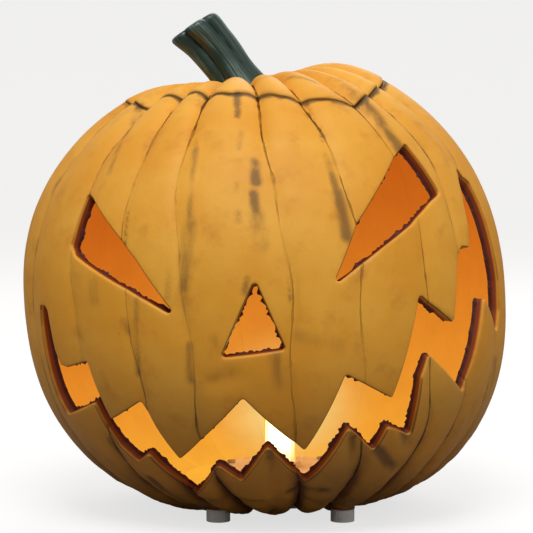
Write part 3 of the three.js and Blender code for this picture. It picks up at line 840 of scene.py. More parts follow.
def put_attribute(mesh, name, values):
    made = mesh.attributes.new(name, "FLOAT", "POINT")
    made.data.foreach_set("value", np.asarray(values, np.float32))


def made_plain(thing, name):
    """The evaluated result of a thing's modifiers as a plain object, in place of the thing."""
    depsgraph = bpy.context.evaluated_depsgraph_get()
    mesh = bpy.data.meshes.new_from_object(thing.evaluated_get(depsgraph))
    mesh.name = name
    thing.modifiers.clear()
    old = thing.data
    thing.data = mesh
    bpy.data.meshes.remove(old)
    thing.name = name
    return thing


def new_object(name, mesh):
    thing = bpy.data.objects.new(name, mesh)
    bpy.context.scene.collection.objects.link(thing)
    return thing


def smoothed(thing, angle=40):
    """Smooth shading with edges sharper than the angle kept crisp."""
    thing.data.shade_smooth()
    thing.data.set_sharp_from_angle(angle=math.radians(angle))
    return thing


def stroke_mask(directions, strokes):
    """The strongest stroke's value at each direction, fading over its half width."""
    mask = np.zeros(len(directions))
    for start, end, half_width, strength in strokes:
        first, last = outline_directions([start, end])
        run = last - first
        share = np.clip((directions - first) @ run / (run @ run), 0, 1)
        gap = np.linalg.norm(directions - first - share[:, None] * run, axis=1) * MEAN_RADIUS
        mask = np.maximum(mask, strength * np.exp(-((gap / (half_width * MM)) ** 2)))
    return mask


def crease_groove(azimuth, polar):
    """Depth of the narrow groove along each crease, deeper at the crown and the base."""
    distance = crease_distance(azimuth, polar)
    a = np.radians(azimuth)
    p = np.radians(polar)
    uneven = 0.75 + 0.25 * np.sin(9 * p + 5 * a) + 0.2 * np.sin(23 * p + 11 * a)
    side = 0.45 + 0.55 * (1 - smooth_step(30, 60, polar)) + 1.2 * smooth_step(112, 150, polar)
    wide = np.exp(-((distance / (2.6 * MM)) ** 2))
    return 0.75 * MM * side * uneven * wide * np.clip(np.sin(p) / 0.3, 0, 1)


def seam_distance(directions):
    """Distance, in metres, to the line where the lid parts from the shell."""
    loop = rounded_loop(LID_EDGE, LID_CORNER_RADIUS, EDGE_SPACING)
    return nearest_gap(directions, loop) * MEAN_RADIUS


def grown(layout, name, tree, material, seam_wash_and_shadow_share, **sizes):
    """The layout as a finished body piece, with its lobe map and the attributes its paint reads."""
    places = np.concatenate(layout.places)
    fixed = np.concatenate(layout.fixed)
    depth = np.concatenate(layout.depths)
    away = places - np.array([0, 0, MIDDLE_HEIGHT])
    directions = lie(unit(np.where(fixed[:, None] > 0.5, away, places)))
    azimuth, polar = pole_angles(directions)
    mesh = bpy.data.meshes.new(name + "_layout")
    mesh.from_pydata(places.tolist(), [], layout.faces)
    put_attribute(mesh, "depth", depth)
    put_attribute(mesh, "fixed", fixed)
    put_attribute(mesh, "relief", lobe_relief(azimuth, polar))
    folds = stroke_mask(directions, FOLDS) * MM
    put_attribute(mesh, "groove", crease_groove(azimuth, polar) + folds)
    put_attribute(mesh, "low_share", smooth_step(112, 150, polar))
    put_attribute(mesh, "wash", stroke_mask(directions, WASH_STROKES))
    put_attribute(mesh, "seam", seam_distance(directions))
    # How strongly this piece takes the seam's dark wash and painted shadow.
    put_attribute(mesh, "seam_wash_and_shadow_share", np.full(len(directions), seam_wash_and_shadow_share))
    put_lobe_map(mesh, lobe_number(azimuth, polar), polar / 180)
    thing = new_object(name, mesh)
    modifier = thing.modifiers.new("grow", "NODES")
    modifier.node_group = tree
    set_inputs(modifier, {**sizes, "Material": material})
    made_plain(thing, name)
    return smoothed(thing, 50)


def put_lobe_map(mesh, numbers, heights):
    """A UV map with the lobe number across and the height down the pole, unbroken at the seam."""
    corner_vertex = np.zeros(len(mesh.loops), np.int32)
    mesh.loops.foreach_get("vertex_index", corner_vertex)
    face_size = np.zeros(len(mesh.polygons), np.int32)
    mesh.polygons.foreach_get("loop_total", face_size)
    face_start = np.zeros(len(mesh.polygons), np.int32)
    mesh.polygons.foreach_get("loop_start", face_start)
    across = numbers[corner_vertex]
    highest = np.maximum.reduceat(across, face_start)
    split = np.repeat(highest - np.minimum.reduceat(across, face_start) > len(CREASES) / 2, face_size)
    across = across + len(CREASES) * (split & (across < len(CREASES) / 2))
    layer = mesh.uv_layers.new(name="lobes")
    layer.data.foreach_set("uv", np.stack([across, heights[corner_vertex]], 1).ravel())


def counterclockwise(loop):
    """The loop turned, where needed, so that what it surrounds is on its left."""
    x, y = flatten(loop, False).T
    area = np.sum(x * np.roll(y, -1) - y * np.roll(x, -1))
    return loop if area > 0 else loop[::-1]


def shell_layout():
    """The pumpkin's hollow body, open at the top, the base and the carved face."""
    random = np.random.default_rng(SEED)
    layout = Layout()
    cuts = []
    for outline in (LEFT_EYE, RIGHT_EYE, NOSE, MOUTH):
        loop = counterclockwise(rounded_loop(outline, CORNER_RADIUS, EDGE_SPACING))
        cuts.append(Cut(loop, random))
    rim = Cut(rounded_loop(LID_EDGE, LID_CORNER_RADIUS, 1.3 * EDGE_SPACING), random, 0.6 * MM, False)
    recess = circle_on_body(RECESS_RADIUS, LAMP_X)
    pockets = [circle_on_body(FOOT_POCKET["radius"], *spot, count=28) for spot in foot_centres()]
    count = len(recess)
    inner_ring_loop = circle_on_body(RING_RADIUS, LAMP_X, 0.0, WALL, INNER_RELIEF, count)

    skin_holes = [cut.skin_loop() for cut in cuts] + [recess, *pockets]
    skin = layout.surface(rim.skin_loop(), skin_holes, OUTER_SPACING, False, 0.0)
    inner_holes = [cut.inner_loop() for cut in cuts] + [inner_ring_loop]
    inner = layout.surface(rim.inner_loop(), inner_holes, INNER_SPACING, False, WALL, True)
    for cut, skin_ring, inner_ring in zip([rim, *cuts], skin, inner):
        cut.build(layout, skin_ring, inner_ring)

    recess_rings = [skin[len(cuts) + 1]]
    seat_to_inside = [
        (RECESS_RADIUS, SEAT_HEIGHT - 0.4 * MM),
        (RECESS_RADIUS - 0.4 * MM, SEAT_HEIGHT),
        (HOLE_RADIUS + 0.4 * MM, SEAT_HEIGHT),
        (HOLE_RADIUS, SEAT_HEIGHT + 0.4 * MM),
        (HOLE_RADIUS, RING_TOP - 0.4 * MM),
        (HOLE_RADIUS + 0.4 * MM, RING_TOP),
        (RING_RADIUS - 0.8 * MM, RING_TOP),
        (RING_RADIUS, RING_TOP - 0.8 * MM),
    ]
    for radius, height in seat_to_inside:
        depth = WALL if height > SEAT_HEIGHT else 0.5 * WALL
        recess_rings.append(layout.put(ring_points(radius, height, LAMP_X, 0.0, count), depth, True))
    layout.bands([*recess_rings, inner[-1]])
    for spot, ring in zip(foot_centres(), skin[len(cuts) + 2:]):
        top_ring = ring_points(FOOT_POCKET["radius"], FOOT_POCKET["top"], *spot, len(ring))
        top = layout.put(top_ring, 0.5 * WALL, True)
        centre = layout.put(np.array([[*spot, FOOT_POCKET["top"]]]), 0.5 * WALL, True)[0]
        layout.band(ring, top)
        layout.cap(top, centre)
    return layout


def lid_layout():
    """The lift-off lid: the body's own crown with a cut edge that tapers towards the middle."""
    random = np.random.default_rng(SEED + 1)
    layout = Layout()
    loop = rounded_loop(LID_EDGE, LID_CORNER_RADIUS, 1.3 * EDGE_SPACING)
    shrunk = unit(loop + side_of_loop(loop) * math.radians(LID_GAP))
    edge = Cut(shrunk[::-1], random, 1.3 * MM, False)
    skin = layout.surface(edge.skin_loop(), [], OUTER_SPACING, True, 0.0)
    inner = layout.surface(edge.inner_loop(), [], INNER_SPACING, True, WALL, True)
    edge.build(layout, skin[0], inner[0])
    return layout


# ---------------------------------------------------------------------------------------
# Stem: five flutes along a leaning, slightly bowed axis, bedded on the lid
# ---------------------------------------------------------------------------------------
STEM = {
    "start": np.array([-8, 0, 93]) * MM,
    "end": np.array([-36.5, 2, 136]) * MM,
    "base_radius": 15.5 * MM,
    "waist_radius": 11.2 * MM,
    "end_radius": 11.8 * MM,
    "bow": 3 * MM,
    "flutes": 5,
    "flute_depth": 0.2,
    "rows": 90,
    "columns": 120,
}

# The cut end, as (share of the length, share of the radius) pairs: rounded lobes round a dished heart.
STEM_END = (
    (0.982, 0.99), (0.995, 0.96), (1.006, 0.91), (1.012, 0.84), (1.012, 0.76), (1.004, 0.67),
    (0.99, 0.55), (0.978, 0.4), (0.985, 0.18),
)


def stem_places(share, turn, radius_share=1.0):
    """Points on the stem's skin: share runs from its foot to its cut end, turn goes round it."""
    start = STEM["start"] + np.array([0, 0, MIDDLE_HEIGHT])
    along = STEM["end"] - STEM["start"]
    axis = unit(along)
    side = unit(np.cross([0, 1, 0], axis))
    other = np.cross(axis, side)
    flare = (1 - smooth_step(0, 0.55, share)) ** 1.5
    radius = STEM["waist_radius"] + (STEM["base_radius"] - STEM["waist_radius"]) * flare
    radius = radius + (STEM["end_radius"] - STEM["waist_radius"]) * smooth_step(0.6, 1, share)
    twist = turn + 0.25 * share
    ridge = np.abs(np.cos(STEM["flutes"] * twist / 2))
    deepening = 0.55 + 0.75 * share**2
    radius = radius * (1 + 0.08 * smooth_step(0.75, 0.97, share))
    flute = 1 + STEM["flute_depth"] * deepening * (1.5 * ridge**0.7 - 1)
    uneven = 1 + 0.03 * np.sin(3 * twist + 4 * share) + 0.02 * np.sin(11 * share + 2 * twist)
    reach = radius * flute * uneven * radius_share
    bow = STEM["bow"] * np.sin(np.pi * share)
    return (
        start
        + share[..., None] * along
        + (reach * np.cos(turn) + bow)[..., None] * side
        + (reach * np.sin(turn))[..., None] * other
    )


def stem_mesh():
    """Fluted rings from the lid's skin to a dished, lobed cut end."""
    columns = STEM["columns"]
    turn = 2 * np.pi * np.arange(columns) / columns
    middle = np.array([0, 0, MIDDLE_HEIGHT])
    low = np.full(columns, -0.1)
    high = np.full(columns, 0.8)
    for _ in range(30):
        half = (low + high) / 2
        away = stem_places(half, turn) - middle
        clear = np.linalg.norm(away, axis=1) - outer_radius(lie(unit(away))) > LID_RISE + 0.35 * MM
        low = np.where(clear, low, half)
        high = np.where(clear, half, high)
    foot = high
    rings = []
    for row in np.linspace(0, 1, STEM["rows"]) ** 1.15:
        share = foot + (0.965 - foot) * row
        rings.append(stem_places(share, turn))
    for lift, shrink in STEM_END:
        rings.append(stem_places(np.full(columns, lift), turn, shrink))
    under = stem_places(foot, turn, 0.35)
    away = under - middle
    reach = outer_radius(lie(unit(away))) + LID_RISE + 0.35 * MM
    under = middle + unit(away) * reach[:, None]
    rings.insert(0, under)
    points = np.concatenate(rings)
    faces = []
    for row in range(len(rings) - 1):
        for column in range(columns):
            after = (column + 1) % columns
            base = row * columns
            faces.append([base + column, base + after, base + columns + after, base + columns + column])
    points = np.concatenate([points, [rings[0].mean(0)], [rings[-1].mean(0)]])
    last = (len(rings) - 1) * columns
    for column in range(columns):
        after = (column + 1) % columns
        faces.append([after, column, len(points) - 2])
        faces.append([last + column, last + after, len(points) - 1])
    mesh = bpy.data.meshes.new("stem_skin")
    mesh.from_pydata(points.tolist(), [], faces)
    along = np.repeat(np.linspace(0, 1, len(rings)), columns)
    put_attribute(mesh, "along", np.concatenate([along, [0, 1]]))
    put_attribute(mesh, "around", np.concatenate([np.tile(turn, len(rings)), [0, 0]]))
    return mesh


# ---------------------------------------------------------------------------------------
# Finishes
# ---------------------------------------------------------------------------------------
def srgb(red, green, blue):
    """A linear colour from its screen values, 0 to 255."""
    linear = []
    for part in (red, green, blue):
        value = part / 255
        linear.append(value / 12.92 if value <= 0.04045 else ((value + 0.055) / 1.055) ** 2.4)
    return (*linear, 1.0)


class Finish:
    """One material: its node tree, its shader and the coordinates that its pattern reads."""

    def __init__(self, name, **constants):
        self.material = bpy.data.materials.new(name)
        self.material.use_nodes = True
        self.tree = Tree(self.material.node_tree)
        self.shader = self.material.node_tree.nodes["Principled BSDF"]
        for socket, value in constants.items():
            self.set(socket.replace("_", " "), value)
        self.place = self.tree.add("ShaderNodeTexCoord", None, None, "Object")

    def set(self, socket, value):
        self.tree.feed(self.shader.inputs[socket], value)

    def bump(self, height, distance):
        inputs = {"Height": height, "Distance": distance}
        self.set("Normal", self.tree.add("ShaderNodeBump", None, inputs))

    def attribute(self, name):
        return self.tree.add("ShaderNodeAttribute", {"attribute_name": name}, None, "Fac")

    def spots(self, scale, low, high, seed=0.0):
        """1 inside scattered round spots and 0 between them."""
        inputs = {"Vector": self.place, "W": seed, "Scale": scale}
        settings = {"voronoi_dimensions": "4D", "feature": "F1"}
        distance = self.tree.add("ShaderNodeTexVoronoi", settings, inputs, "Distance")
        return 1 - self.tree.smooth(distance, low, high)


# low is the colour of the painted shade towards the underside, lip the painted highlight on cut lips; the
# others are the paint's own colours.
PAINT = {
    "bright": srgb(238, 172, 56),
    "base": srgb(228, 154, 32),
    "deep": srgb(190, 114, 22),
    "low": srgb(104, 56, 4),
    "wash": srgb(52, 32, 10),
    "smudge": srgb(126, 82, 30),
    "lip": srgb(214, 158, 84),
    "wall": srgb(132, 58, 14),
    "torn": srgb(74, 18, 4),
    "inside": srgb(124, 72, 20),
}
# Colours of the lamp light painted on the hollow's inner surface, from its hot spot to the far wall.
PAINTED_LAMP_LIGHT = {
    "halo": srgb(255, 240, 150),
    "near": srgb(255, 190, 60),
    "middle": srgb(236, 130, 34),
    "far": srgb(176, 78, 12),
}
LAMP_HEIGHT = 45 * MM
# Centre of the painted hot spot by the lamp.
PAINTED_HOT_SPOT_PLACE = (14 * MM, 88 * MM, 40 * MM)


def pumpkin_paint():
    """Matt hand-brushed paint over a cast body, dark wash in the creases, painted shade, shadow and
    highlights, and painted lamp light in the hollow.
    """
    finish = Finish("pumpkin_paint", Roughness=0.6, IOR=1.45)
    tree = finish.tree
    lobes = tree.add("ShaderNodeUVMap", {"uv_map": "lobes"})
    across, height, _ = tree.parts(lobes)
    depth = finish.attribute("depth") / WALL
    broad = tree.noise(finish.place, 22.0, 3.0, 0.55, 1.0)
    mottled = tree.noise(finish.place, 75.0, 4.0, 0.6, 2.0)
    grain = tree.noise(finish.place, 900.0, 2.0, 0.5, 3.0)
    x, y, z = tree.parts(finish.place)
    upright = tree.join(x, y, z * 0.12)
    drips = tree.noise(upright, 85.0, 3.0, 0.6, 4.0)

    # Paint: brighter and deeper patches at random; painted shade darkens it towards the underside and in
    # the lobe valleys low down.
    low = 1 - tree.smooth(z, 0.0, 118 * MM)
    valley = 1 - tree.smooth(finish.attribute("relief"), -3.0 * MM, 0.4 * MM)
    colour = tree.mix(tree.smooth(broad, 0.35, 0.7), PAINT["base"], PAINT["bright"])
    colour = tree.mix(tree.smooth(mottled, 0.5, 0.8) * 0.5, colour, PAINT["deep"])
    shaded = low * (0.8 + 1.2 * (broad - 0.5)) + low * low * (valley * 0.9 - 0.1)
    colour = tree.mix(tree.limited(shaded), colour, PAINT["low"])

    # Wash: a thin dark line in each crease, broken along its length, and soft smudges by it.
    strayed = across + (tree.noise(finish.place, 60.0, 3.0, 0.6, 5.0) - 0.5) * 0.05
    off_crease = abs(strayed - tree.math("ROUND", strayed))
    girth = tree.math("SINE", height * math.pi)
    from_crease = off_crease * girth * 36.0
    thickness = 0.35 + 0.9 * tree.smooth(mottled, 0.4, 0.7)
    line = 1 - tree.smooth(from_crease / thickness, 0.25, 0.9)
    halo = 1 - tree.smooth(from_crease, 0.3, 5.5)
    broken = tree.smooth(drips, 0.42, 0.62)
    # Towards the underside the wash is strengthened by the painted-shade gradient, so there it is partly
    # painted shade.
    ends = tree.limited(tree.smooth(z, 170 * MM, 205 * MM) * 0.6 + low * low * 1.3)
    line = line * tree.limited(0.12 + broken * 0.55 + ends * 0.7)
    smudged = halo * tree.smooth(drips, 0.55, 0.78) * tree.limited(0.55 + ends)
    colour = tree.mix(smudged * 0.6, colour, PAINT["smudge"])
    colour = tree.mix(line * 0.8, colour, PAINT["wash"])
    streaks = tree.smooth(drips, 0.3, 0.62)
    stroke = finish.attribute("wash")
    brushed = tree.smooth(stroke * (0.4 + 0.8 * streaks), 0.1, 1.0)
    colour = tree.mix(brushed * 0.7, colour, tree.mix(streaks * stroke, PAINT["smudge"], PAINT["wash"]))
    # Along the lid's seam: dark wash together with painted shadow under the lid's proud edge, mostly on
    # the shell below it.
    seam = finish.attribute("seam")
    seam_wash_and_shadow = 1 - tree.smooth(seam, 0.7 * MM, (2.2 + 2.8 * broken) * MM)
    patchy = tree.limited(0.5 + 0.8 * tree.smooth(broad, 0.35, 0.6))
    seam_wash_and_shadow = seam_wash_and_shadow * patchy * finish.attribute("seam_wash_and_shadow_share")
    colour = tree.mix(seam_wash_and_shadow * 0.92, colour, PAINT["wash"])
    specks = finish.spots(260.0, 0.05, 0.16, 6.0) * tree.smooth(mottled, 0.55, 0.7)
    colour = tree.mix(specks * 0.7, colour, PAINT["wash"])

    # Cut edges: a patchy painted highlight on the lip where it faces up, a painted shade line on the lip
    # where it faces down, a brown wall and a dark torn inner edge.
    _, _, upward = tree.parts(tree.add("ShaderNodeNewGeometry", None, None, "Normal"))
    on_lip = tree.smooth(depth, 0.004, 0.05) * (1 - tree.smooth(depth, 0.12, 0.25))
    upward_lip_highlight = tree.smooth(upward, -0.1, 0.5) * tree.smooth(broken + mottled, 0.4, 1.2)
    downward_lip_shade = on_lip * (1 - tree.smooth(upward, -0.3, 0.3))
    colour = tree.mix(on_lip * upward_lip_highlight * 0.6, colour, PAINT["lip"])
    colour = tree.mix(downward_lip_shade * 0.7, colour, PAINT["wash"])
    colour = tree.mix(tree.smooth(depth, 0.15, 0.4), colour, PAINT["wall"])
    colour = tree.mix(tree.smooth(depth, 0.5, 0.8), colour, PAINT["torn"])
    inside = tree.smooth(depth, 0.985, 0.999)
    colour = tree.mix(inside, colour, PAINT["inside"])
    finish.set("Base Color", colour)

    # Painted lamp light: the hollow's inner surface emits a warm pool of light, brightest near the lamp,
    # with a painted hot spot beside it.
    away = tree.vector("DISTANCE", finish.place, (LAMP_X, 0.0, LAMP_HEIGHT), output="Value")
    near = 1 - tree.smooth(away, 50 * MM, 200 * MM)
    painted_lamp_light = tree.mix(near, PAINTED_LAMP_LIGHT["far"], PAINTED_LAMP_LIGHT["middle"])
    painted_lamp_light = tree.mix(near * near, painted_lamp_light, PAINTED_LAMP_LIGHT["near"])
    off_hot_spot = tree.vector("DISTANCE", finish.place, PAINTED_HOT_SPOT_PLACE, output="Value")
    halo = 1 - tree.smooth(off_hot_spot, 6 * MM, 62 * MM)
    painted_lamp_light = tree.mix(halo * halo * 0.9, painted_lamp_light, PAINTED_LAMP_LIGHT["halo"])
    finish.set("Emission Color", tree.mix(inside * (0.75 + 0.25 * mottled), (0, 0, 0, 1), painted_lamp_light))
    finish.set("Emission Strength", 0.85)

    # Surface: brushed texture, cast pits and a groove that follows each crease.
    finish.set("Roughness", 0.5 + 0.2 * mottled + line * 0.15)
    pits = finish.spots(420.0, 0.04, 0.12, 8.0) * tree.smooth(broad, 0.5, 0.65)
    relief = mottled * 0.5 + grain * 0.06 + drips * 0.12 - line * 1.1 - pits * 0.5
    finish.bump(relief, 0.7 * MM)
    return finish.material


def stem_paint():
    """Glossy dark green, brushed along the stem, with painted highlights on the flute ridges."""
    finish = Finish("stem_paint", Coat_Roughness=0.12, IOR=1.5)
    tree = finish.tree
    along = finish.attribute("along")
    around = finish.attribute("around")
    bristle = tree.join(tree.math("COSINE", around) * 9, tree.math("SINE", around) * 9, along * 0.9)
    streak = tree.noise(bristle, 2.2, 4.0, 0.65, 1.0)
    patch = tree.noise(finish.place, 70.0, 3.0, 0.5, 2.0)
    ridge = tree.smooth(tree.math("COSINE", (around + along * 0.25) * 5.0), -0.2, 0.9)
    colour = tree.mix(tree.smooth(streak, 0.35, 0.75), srgb(10, 36, 27), srgb(24, 62, 48))
    # Painted highlights along the flute ridges.
    pale = ridge * tree.smooth(streak + patch * 0.5, 0.6, 0.95)
    colour = tree.mix(pale * 0.8, colour, srgb(104, 132, 120))
    colour = tree.mix(tree.smooth(along, 0.93, 0.99) * 0.4, colour, srgb(10, 30, 22))
    finish.set("Base Color", colour)
    finish.set("Roughness", 0.24 + 0.3 * streak)
    finish.set("Coat Weight", 0.35 * tree.smooth(patch, 0.3, 0.6))
    finish.bump(streak * 0.7 + patch * 0.4, 0.5 * MM)
    return finish.material


def moulded_plastic(name, colour, roughness=0.5, texture=0.12 * MM, scale=700.0):
    """Moulded plastic with a fine spark-eroded texture."""
    finish = Finish(name, IOR=1.48)
    tree = finish.tree
    fine = tree.noise(finish.place, scale, 3.0, 0.6, 1.0)
    wide = tree.noise(finish.place, 45.0, 3.0, 0.5, 2.0)
    dusty = tuple(min(1.0, 1.5 * part + 0.01) for part in colour[:3]) + (1.0,)
    finish.set("Base Color", tree.mix(tree.smooth(wide, 0.4, 0.75) * 0.6, colour, dusty))
    finish.set("Roughness", roughness - 0.08 + 0.25 * fine)
    finish.bump(fine, texture)
    return finish.material


def soft_rubber(name, colour):
    """Matt rubber with a dusty bloom."""
    finish = Finish(name, IOR=1.5)
    tree = finish.tree
    bloom = tree.noise(finish.place, 160.0, 5.0, 0.6, 1.0)
    grain = tree.noise(finish.place, 1600.0, 2.0, 0.5, 2.0)
    finish.set("Base Color", tree.mix(tree.smooth(bloom, 0.45, 0.8) * 0.5, colour, srgb(92, 90, 86)))
    finish.set("Roughness", 0.75 + 0.2 * bloom)
    finish.bump(grain * 0.5 + bloom * 0.5, 0.15 * MM)
    return finish.material


def brushed_metal(name, colour, roughness=0.25):
    """Plated steel with fine drawn lines and a few dull patches."""
    finish = Finish(name, Metallic=1.0)
    tree = finish.tree
    x, y, z = tree.parts(finish.place)
    drawn = tree.noise(tree.join(x * 3000, y * 300, z * 3000), 1.0, 2.0, 0.5, 1.0)
    dull = tree.noise(finish.place, 220.0, 3.0, 0.5, 2.0)
    darker = tuple(0.6 * part for part in colour[:3]) + (1.0,)
    finish.set("Base Color", tree.mix(tree.smooth(dull, 0.5, 0.8), colour, darker))
    finish.set("Roughness", roughness + 0.2 * dull + 0.08 * drawn)
    finish.bump(drawn, 0.03 * MM)
    return finish.material


def lit_diffuser():
    """Frosted lamp cover, brightest at the level of the light inside it."""
    finish = Finish("bulb_frost", Roughness=0.45)
    tree = finish.tree
    _, _, z = tree.parts(finish.place)
    facing = tree.add("ShaderNodeLayerWeight", None, {"Blend": 0.5}, "Facing")
    lit = (1 - tree.smooth(abs(z - 38 * MM), 1 * MM, 19 * MM)) * (1 - tree.smooth(facing, 0.05, 0.8))
    frost = tree.noise(finish.place, 900.0, 2.0, 0.5, 1.0)
    finish.set("Base Color", tree.mix(frost, srgb(255, 240, 205), srgb(255, 248, 228)))
    finish.set("Emission Color", tree.mix(lit, (0.2, 0.105, 0.015, 1), (1.0, 0.84, 0.5, 1)))
    finish.set("Emission Strength", 2.6)
    finish.bump(frost, 0.1 * MM)
    return finish.material


def lit_resin():
    """The light-emitting diode's clear lens."""
    finish = Finish("led_resin", Roughness=0.12)
    tree = finish.tree
    ripple = tree.noise(finish.place, 500.0, 2.0, 0.5, 1.0)
    finish.set("Base Color", tree.mix(ripple, srgb(255, 232, 176), srgb(255, 244, 210)))
    finish.set("Emission Color", tree.mix(ripple, srgb(255, 210, 120), srgb(255, 236, 180)))
    finish.set("Emission Strength", 12.0)
    return finish.material


def circuit_board():
    """Green lacquer over copper tracks, with tinned pads."""
    finish = Finish("board", Roughness=0.35)
    tree = finish.tree
    x, y, _ = tree.parts(finish.place)
    across = tree.math("PINGPONG", x, 1.3 * MM) / MM
    along = tree.math("PINGPONG", y, 2.6 * MM) / MM
    track = tree.smooth(across, 0.75, 0.85) * (1 - tree.smooth(along, 2.1, 2.2))
    pad = finish.spots(420.0, 0.12, 0.16, 2.0)
    colour = tree.mix(track * 0.7, srgb(18, 78, 46), srgb(40, 118, 66))
    finish.set("Base Color", tree.mix(pad, colour, srgb(196, 198, 190)))
    finish.set("Metallic", pad * 0.8)
    finish.bump(track * 0.5 + pad, 0.08 * MM)
    return finish.material


def cell_wrap():
    """Printed sleeve on a dry cell: a dark band, a coppery band and a bare crimped end."""
    finish = Finish("cell_wrap", Roughness=0.28)
    tree = finish.tree
    _, y, _ = tree.parts(finish.place)
    scuff = tree.noise(finish.place, 300.0, 4.0, 0.6, 1.0)
    band = tree.smooth(abs(y + 12 * MM), 5.8 * MM, 6.0 * MM)
    colour = tree.mix(band, srgb(186, 112, 58), srgb(34, 44, 54))
    ends = tree.smooth(abs(y), 20.8 * MM, 21.0 * MM)
    colour = tree.mix(ends, colour, srgb(186, 188, 190))
    finish.set("Base Color", tree.mix(tree.smooth(scuff, 0.62, 0.8) * 0.4, colour, srgb(120, 122, 124)))
    finish.set("Metallic", tree.limited(ends + (1 - band) * 0.4))
    finish.set("Roughness", 0.22 + 0.3 * scuff)
    finish.bump(scuff, 0.05 * MM)
    return finish.material


# ---------------------------------------------------------------------------------------
# Pieces
# ---------------------------------------------------------------------------------------
shell_material = pumpkin_paint()
grow = body_tree()

shell = grown(shell_layout(), "painted_shell", grow, shell_material, 1.0)
lid = grown(lid_layout(), "painted_lid", grow, shell_material, 0.15, Rise=LID_RISE)
stem = smoothed(new_object("fluted_stem", stem_mesh()), 55)
stem.data.materials.append(stem_paint())

for piece, node, body, slot in (
    (shell, "pumpkin_shell", "body", "pumpkin_paint"),
    (lid, "lid", "lid", "pumpkin_paint"),
    (stem, "stem", "lid", "stem_paint"),
):
    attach(piece, body)
    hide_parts(node)

white_housing = moulded_plastic("housing_plastic", srgb(226, 218, 200), 0.5)
NODE_FINISHES = {
    ("foot_pad_",): soft_rubber("foot_rubber", srgb(228, 224, 216)),
    ("hole_seal",): soft_rubber("seal_rubber", srgb(34, 34, 36)),
    ("lamp_tub", "lamp_cover", "battery_door"): white_housing,
    ("switch_knob",): moulded_plastic("knob_plastic", srgb(226, 224, 216), 0.4),
    ("bulb_diffuser",): lit_diffuser(),
    ("led",): lit_resin(),
    ("circuit_board",): circuit_board(),
    ("board_screw_", "cover_screw_"): brushed_metal("screw_steel", srgb(176, 178, 182)),
    ("contact_spring_", "contact_plate_", "switch_body"): brushed_metal(
        "contact_steel", srgb(206, 208, 212), 0.18
    ),
    ("battery_",): cell_wrap(),
    ("led_lead_red", "battery_lead_red"): moulded_plastic("lead_red", srgb(176, 34, 28), 0.42),
    ("led_lead_black", "battery_lead_black"): moulded_plastic("lead_black", srgb(22, 22, 22), 0.42),
}


def finish_of(name):
    """The finish whose full name or numbered prefix fits the node."""
    exact = [made for names, made in NODE_FINISHES.items() if name in names]
    stem_name = name.rstrip("0123456789")
    numbered = [made for names, made in NODE_FINISHES.items() if stem_name in names]
    return (exact + numbered)[0]


for name, node in frame["nodes"].items():
    if not node.hide_render:
        node.data.materials.clear()
        node.data.materials.append(finish_of(name))

# ---------------------------------------------------------------------------------------
# Floor, lights and camera
# ---------------------------------------------------------------------------------------
SHOT = {"distance": 1.15, "elevation": 5.0, "lens": 149.6, "shift_x": 0.00375, "shift_y": 0.0447}


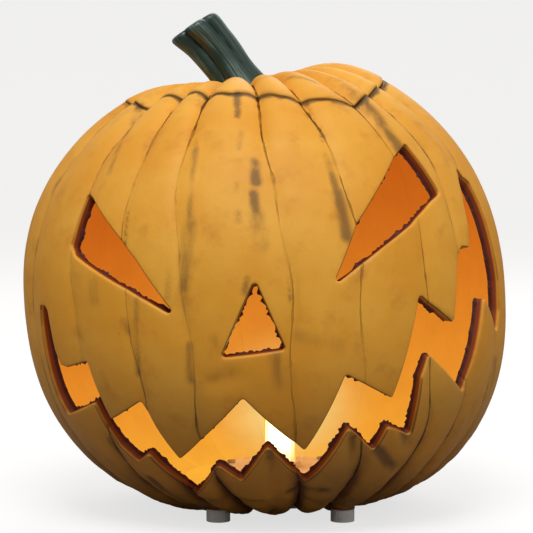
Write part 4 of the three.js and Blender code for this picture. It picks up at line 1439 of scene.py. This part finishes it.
def floor():
    """A pale floor that curves up far away on every side, with no horizon line."""
    flat_radius = 2.4
    rise_radius = 1.0
    turns = 64
    profile = [(0.0, 0.0), (0.6, 0.0), (1.5, 0.0), (flat_radius, 0.0)]
    for step in range(1, 13):
        angle = step / 12 * math.pi / 2
        profile.append((flat_radius + rise_radius * math.sin(angle), rise_radius * (1 - math.cos(angle))))
    points = []
    for radius, height in profile[1:]:
        for step in range(turns):
            turn = 2 * math.pi * step / turns
            points.append((radius * math.cos(turn), radius * math.sin(turn), height))
    faces = [tuple(range(turns))]
    for row in range(len(profile) - 2):
        for step in range(turns):
            after = (step + 1) % turns
            start = row * turns
            faces.append((start + step, start + turns + step, start + turns + after, start + after))
    mesh = bpy.data.meshes.new("floor")
    mesh.from_pydata(points, [], faces)
    thing = smoothed(new_object("floor", mesh))
    finish = Finish("floor", Roughness=0.9)
    speckle = finish.tree.noise(finish.place, 40.0, 3.0, 0.6, 1.0)
    seen = finish.tree.add("ShaderNodeLightPath", None, None, "Is Camera Ray")
    finish.set("Base Color", finish.tree.mix(speckle, (0.3, 0.29, 0.28, 1), (0.32, 0.31, 0.3, 1)))
    finish.set("Emission Color", finish.tree.mix(seen, (0, 0, 0, 1), (1, 1, 1, 1)))
    finish.set("Emission Strength", 0.7)
    mesh.materials.append(finish.material)


def soft_light(name, place, aim, size, power, colour=(1, 1, 1)):
    data = bpy.data.lights.new(name, "AREA")
    data.shape = "DISK"
    data.size = size
    data.energy = power
    data.color = colour
    thing = bpy.data.objects.new(name, data)
    bpy.context.scene.collection.objects.link(thing)
    thing.location = place
    thing.rotation_euler = (Vector(aim) - Vector(place)).to_track_quat("-Z", "Y").to_euler()


def lamp_light():
    """The lamp's own light inside the hollow."""
    data = bpy.data.lights.new("lamp_light", "POINT")
    data.energy = 0.06
    data.color = (1.0, 0.72, 0.32)
    data.shadow_soft_size = 9 * MM
    thing = bpy.data.objects.new("lamp_light", data)
    bpy.context.scene.collection.objects.link(thing)
    thing.location = (LAMP_X, 0, 78 * MM)


def camera():
    data = bpy.data.cameras.new("camera")
    data.sensor_width = 36
    data.lens = SHOT["lens"]
    data.shift_x = SHOT["shift_x"]
    data.shift_y = SHOT["shift_y"]
    thing = bpy.data.objects.new("camera", data)
    bpy.context.scene.collection.objects.link(thing)
    rise = math.radians(SHOT["elevation"])
    away = Vector((0, -math.cos(rise), math.sin(rise)))
    thing.location = Vector((0, 0, MIDDLE_HEIGHT)) + away * SHOT["distance"]
    thing.rotation_euler = (-away).to_track_quat("-Z", "Y").to_euler()
    bpy.context.scene.camera = thing


def world():
    made = bpy.data.worlds.new("studio")
    made.use_nodes = True
    background = made.node_tree.nodes["Background"]
    background.inputs["Color"].default_value = (1, 1, 1, 1)
    background.inputs["Strength"].default_value = 0.6
    bpy.context.scene.world = made


bpy.context.scene.view_settings.view_transform = "Standard"
floor()
world()
soft_light("key_light", (-0.05, -0.8, 1.5), (0, 0, 0.16), 0.8, 13.0)
soft_light("fill_light", (1.0, -0.9, 0.8), (0, 0, 0.12), 0.8, 1.5)
soft_light("back_light", (0.2, 1.2, 1.0), (0, 0, 0.15), 0.8, 4.0)
lamp_light()
camera()
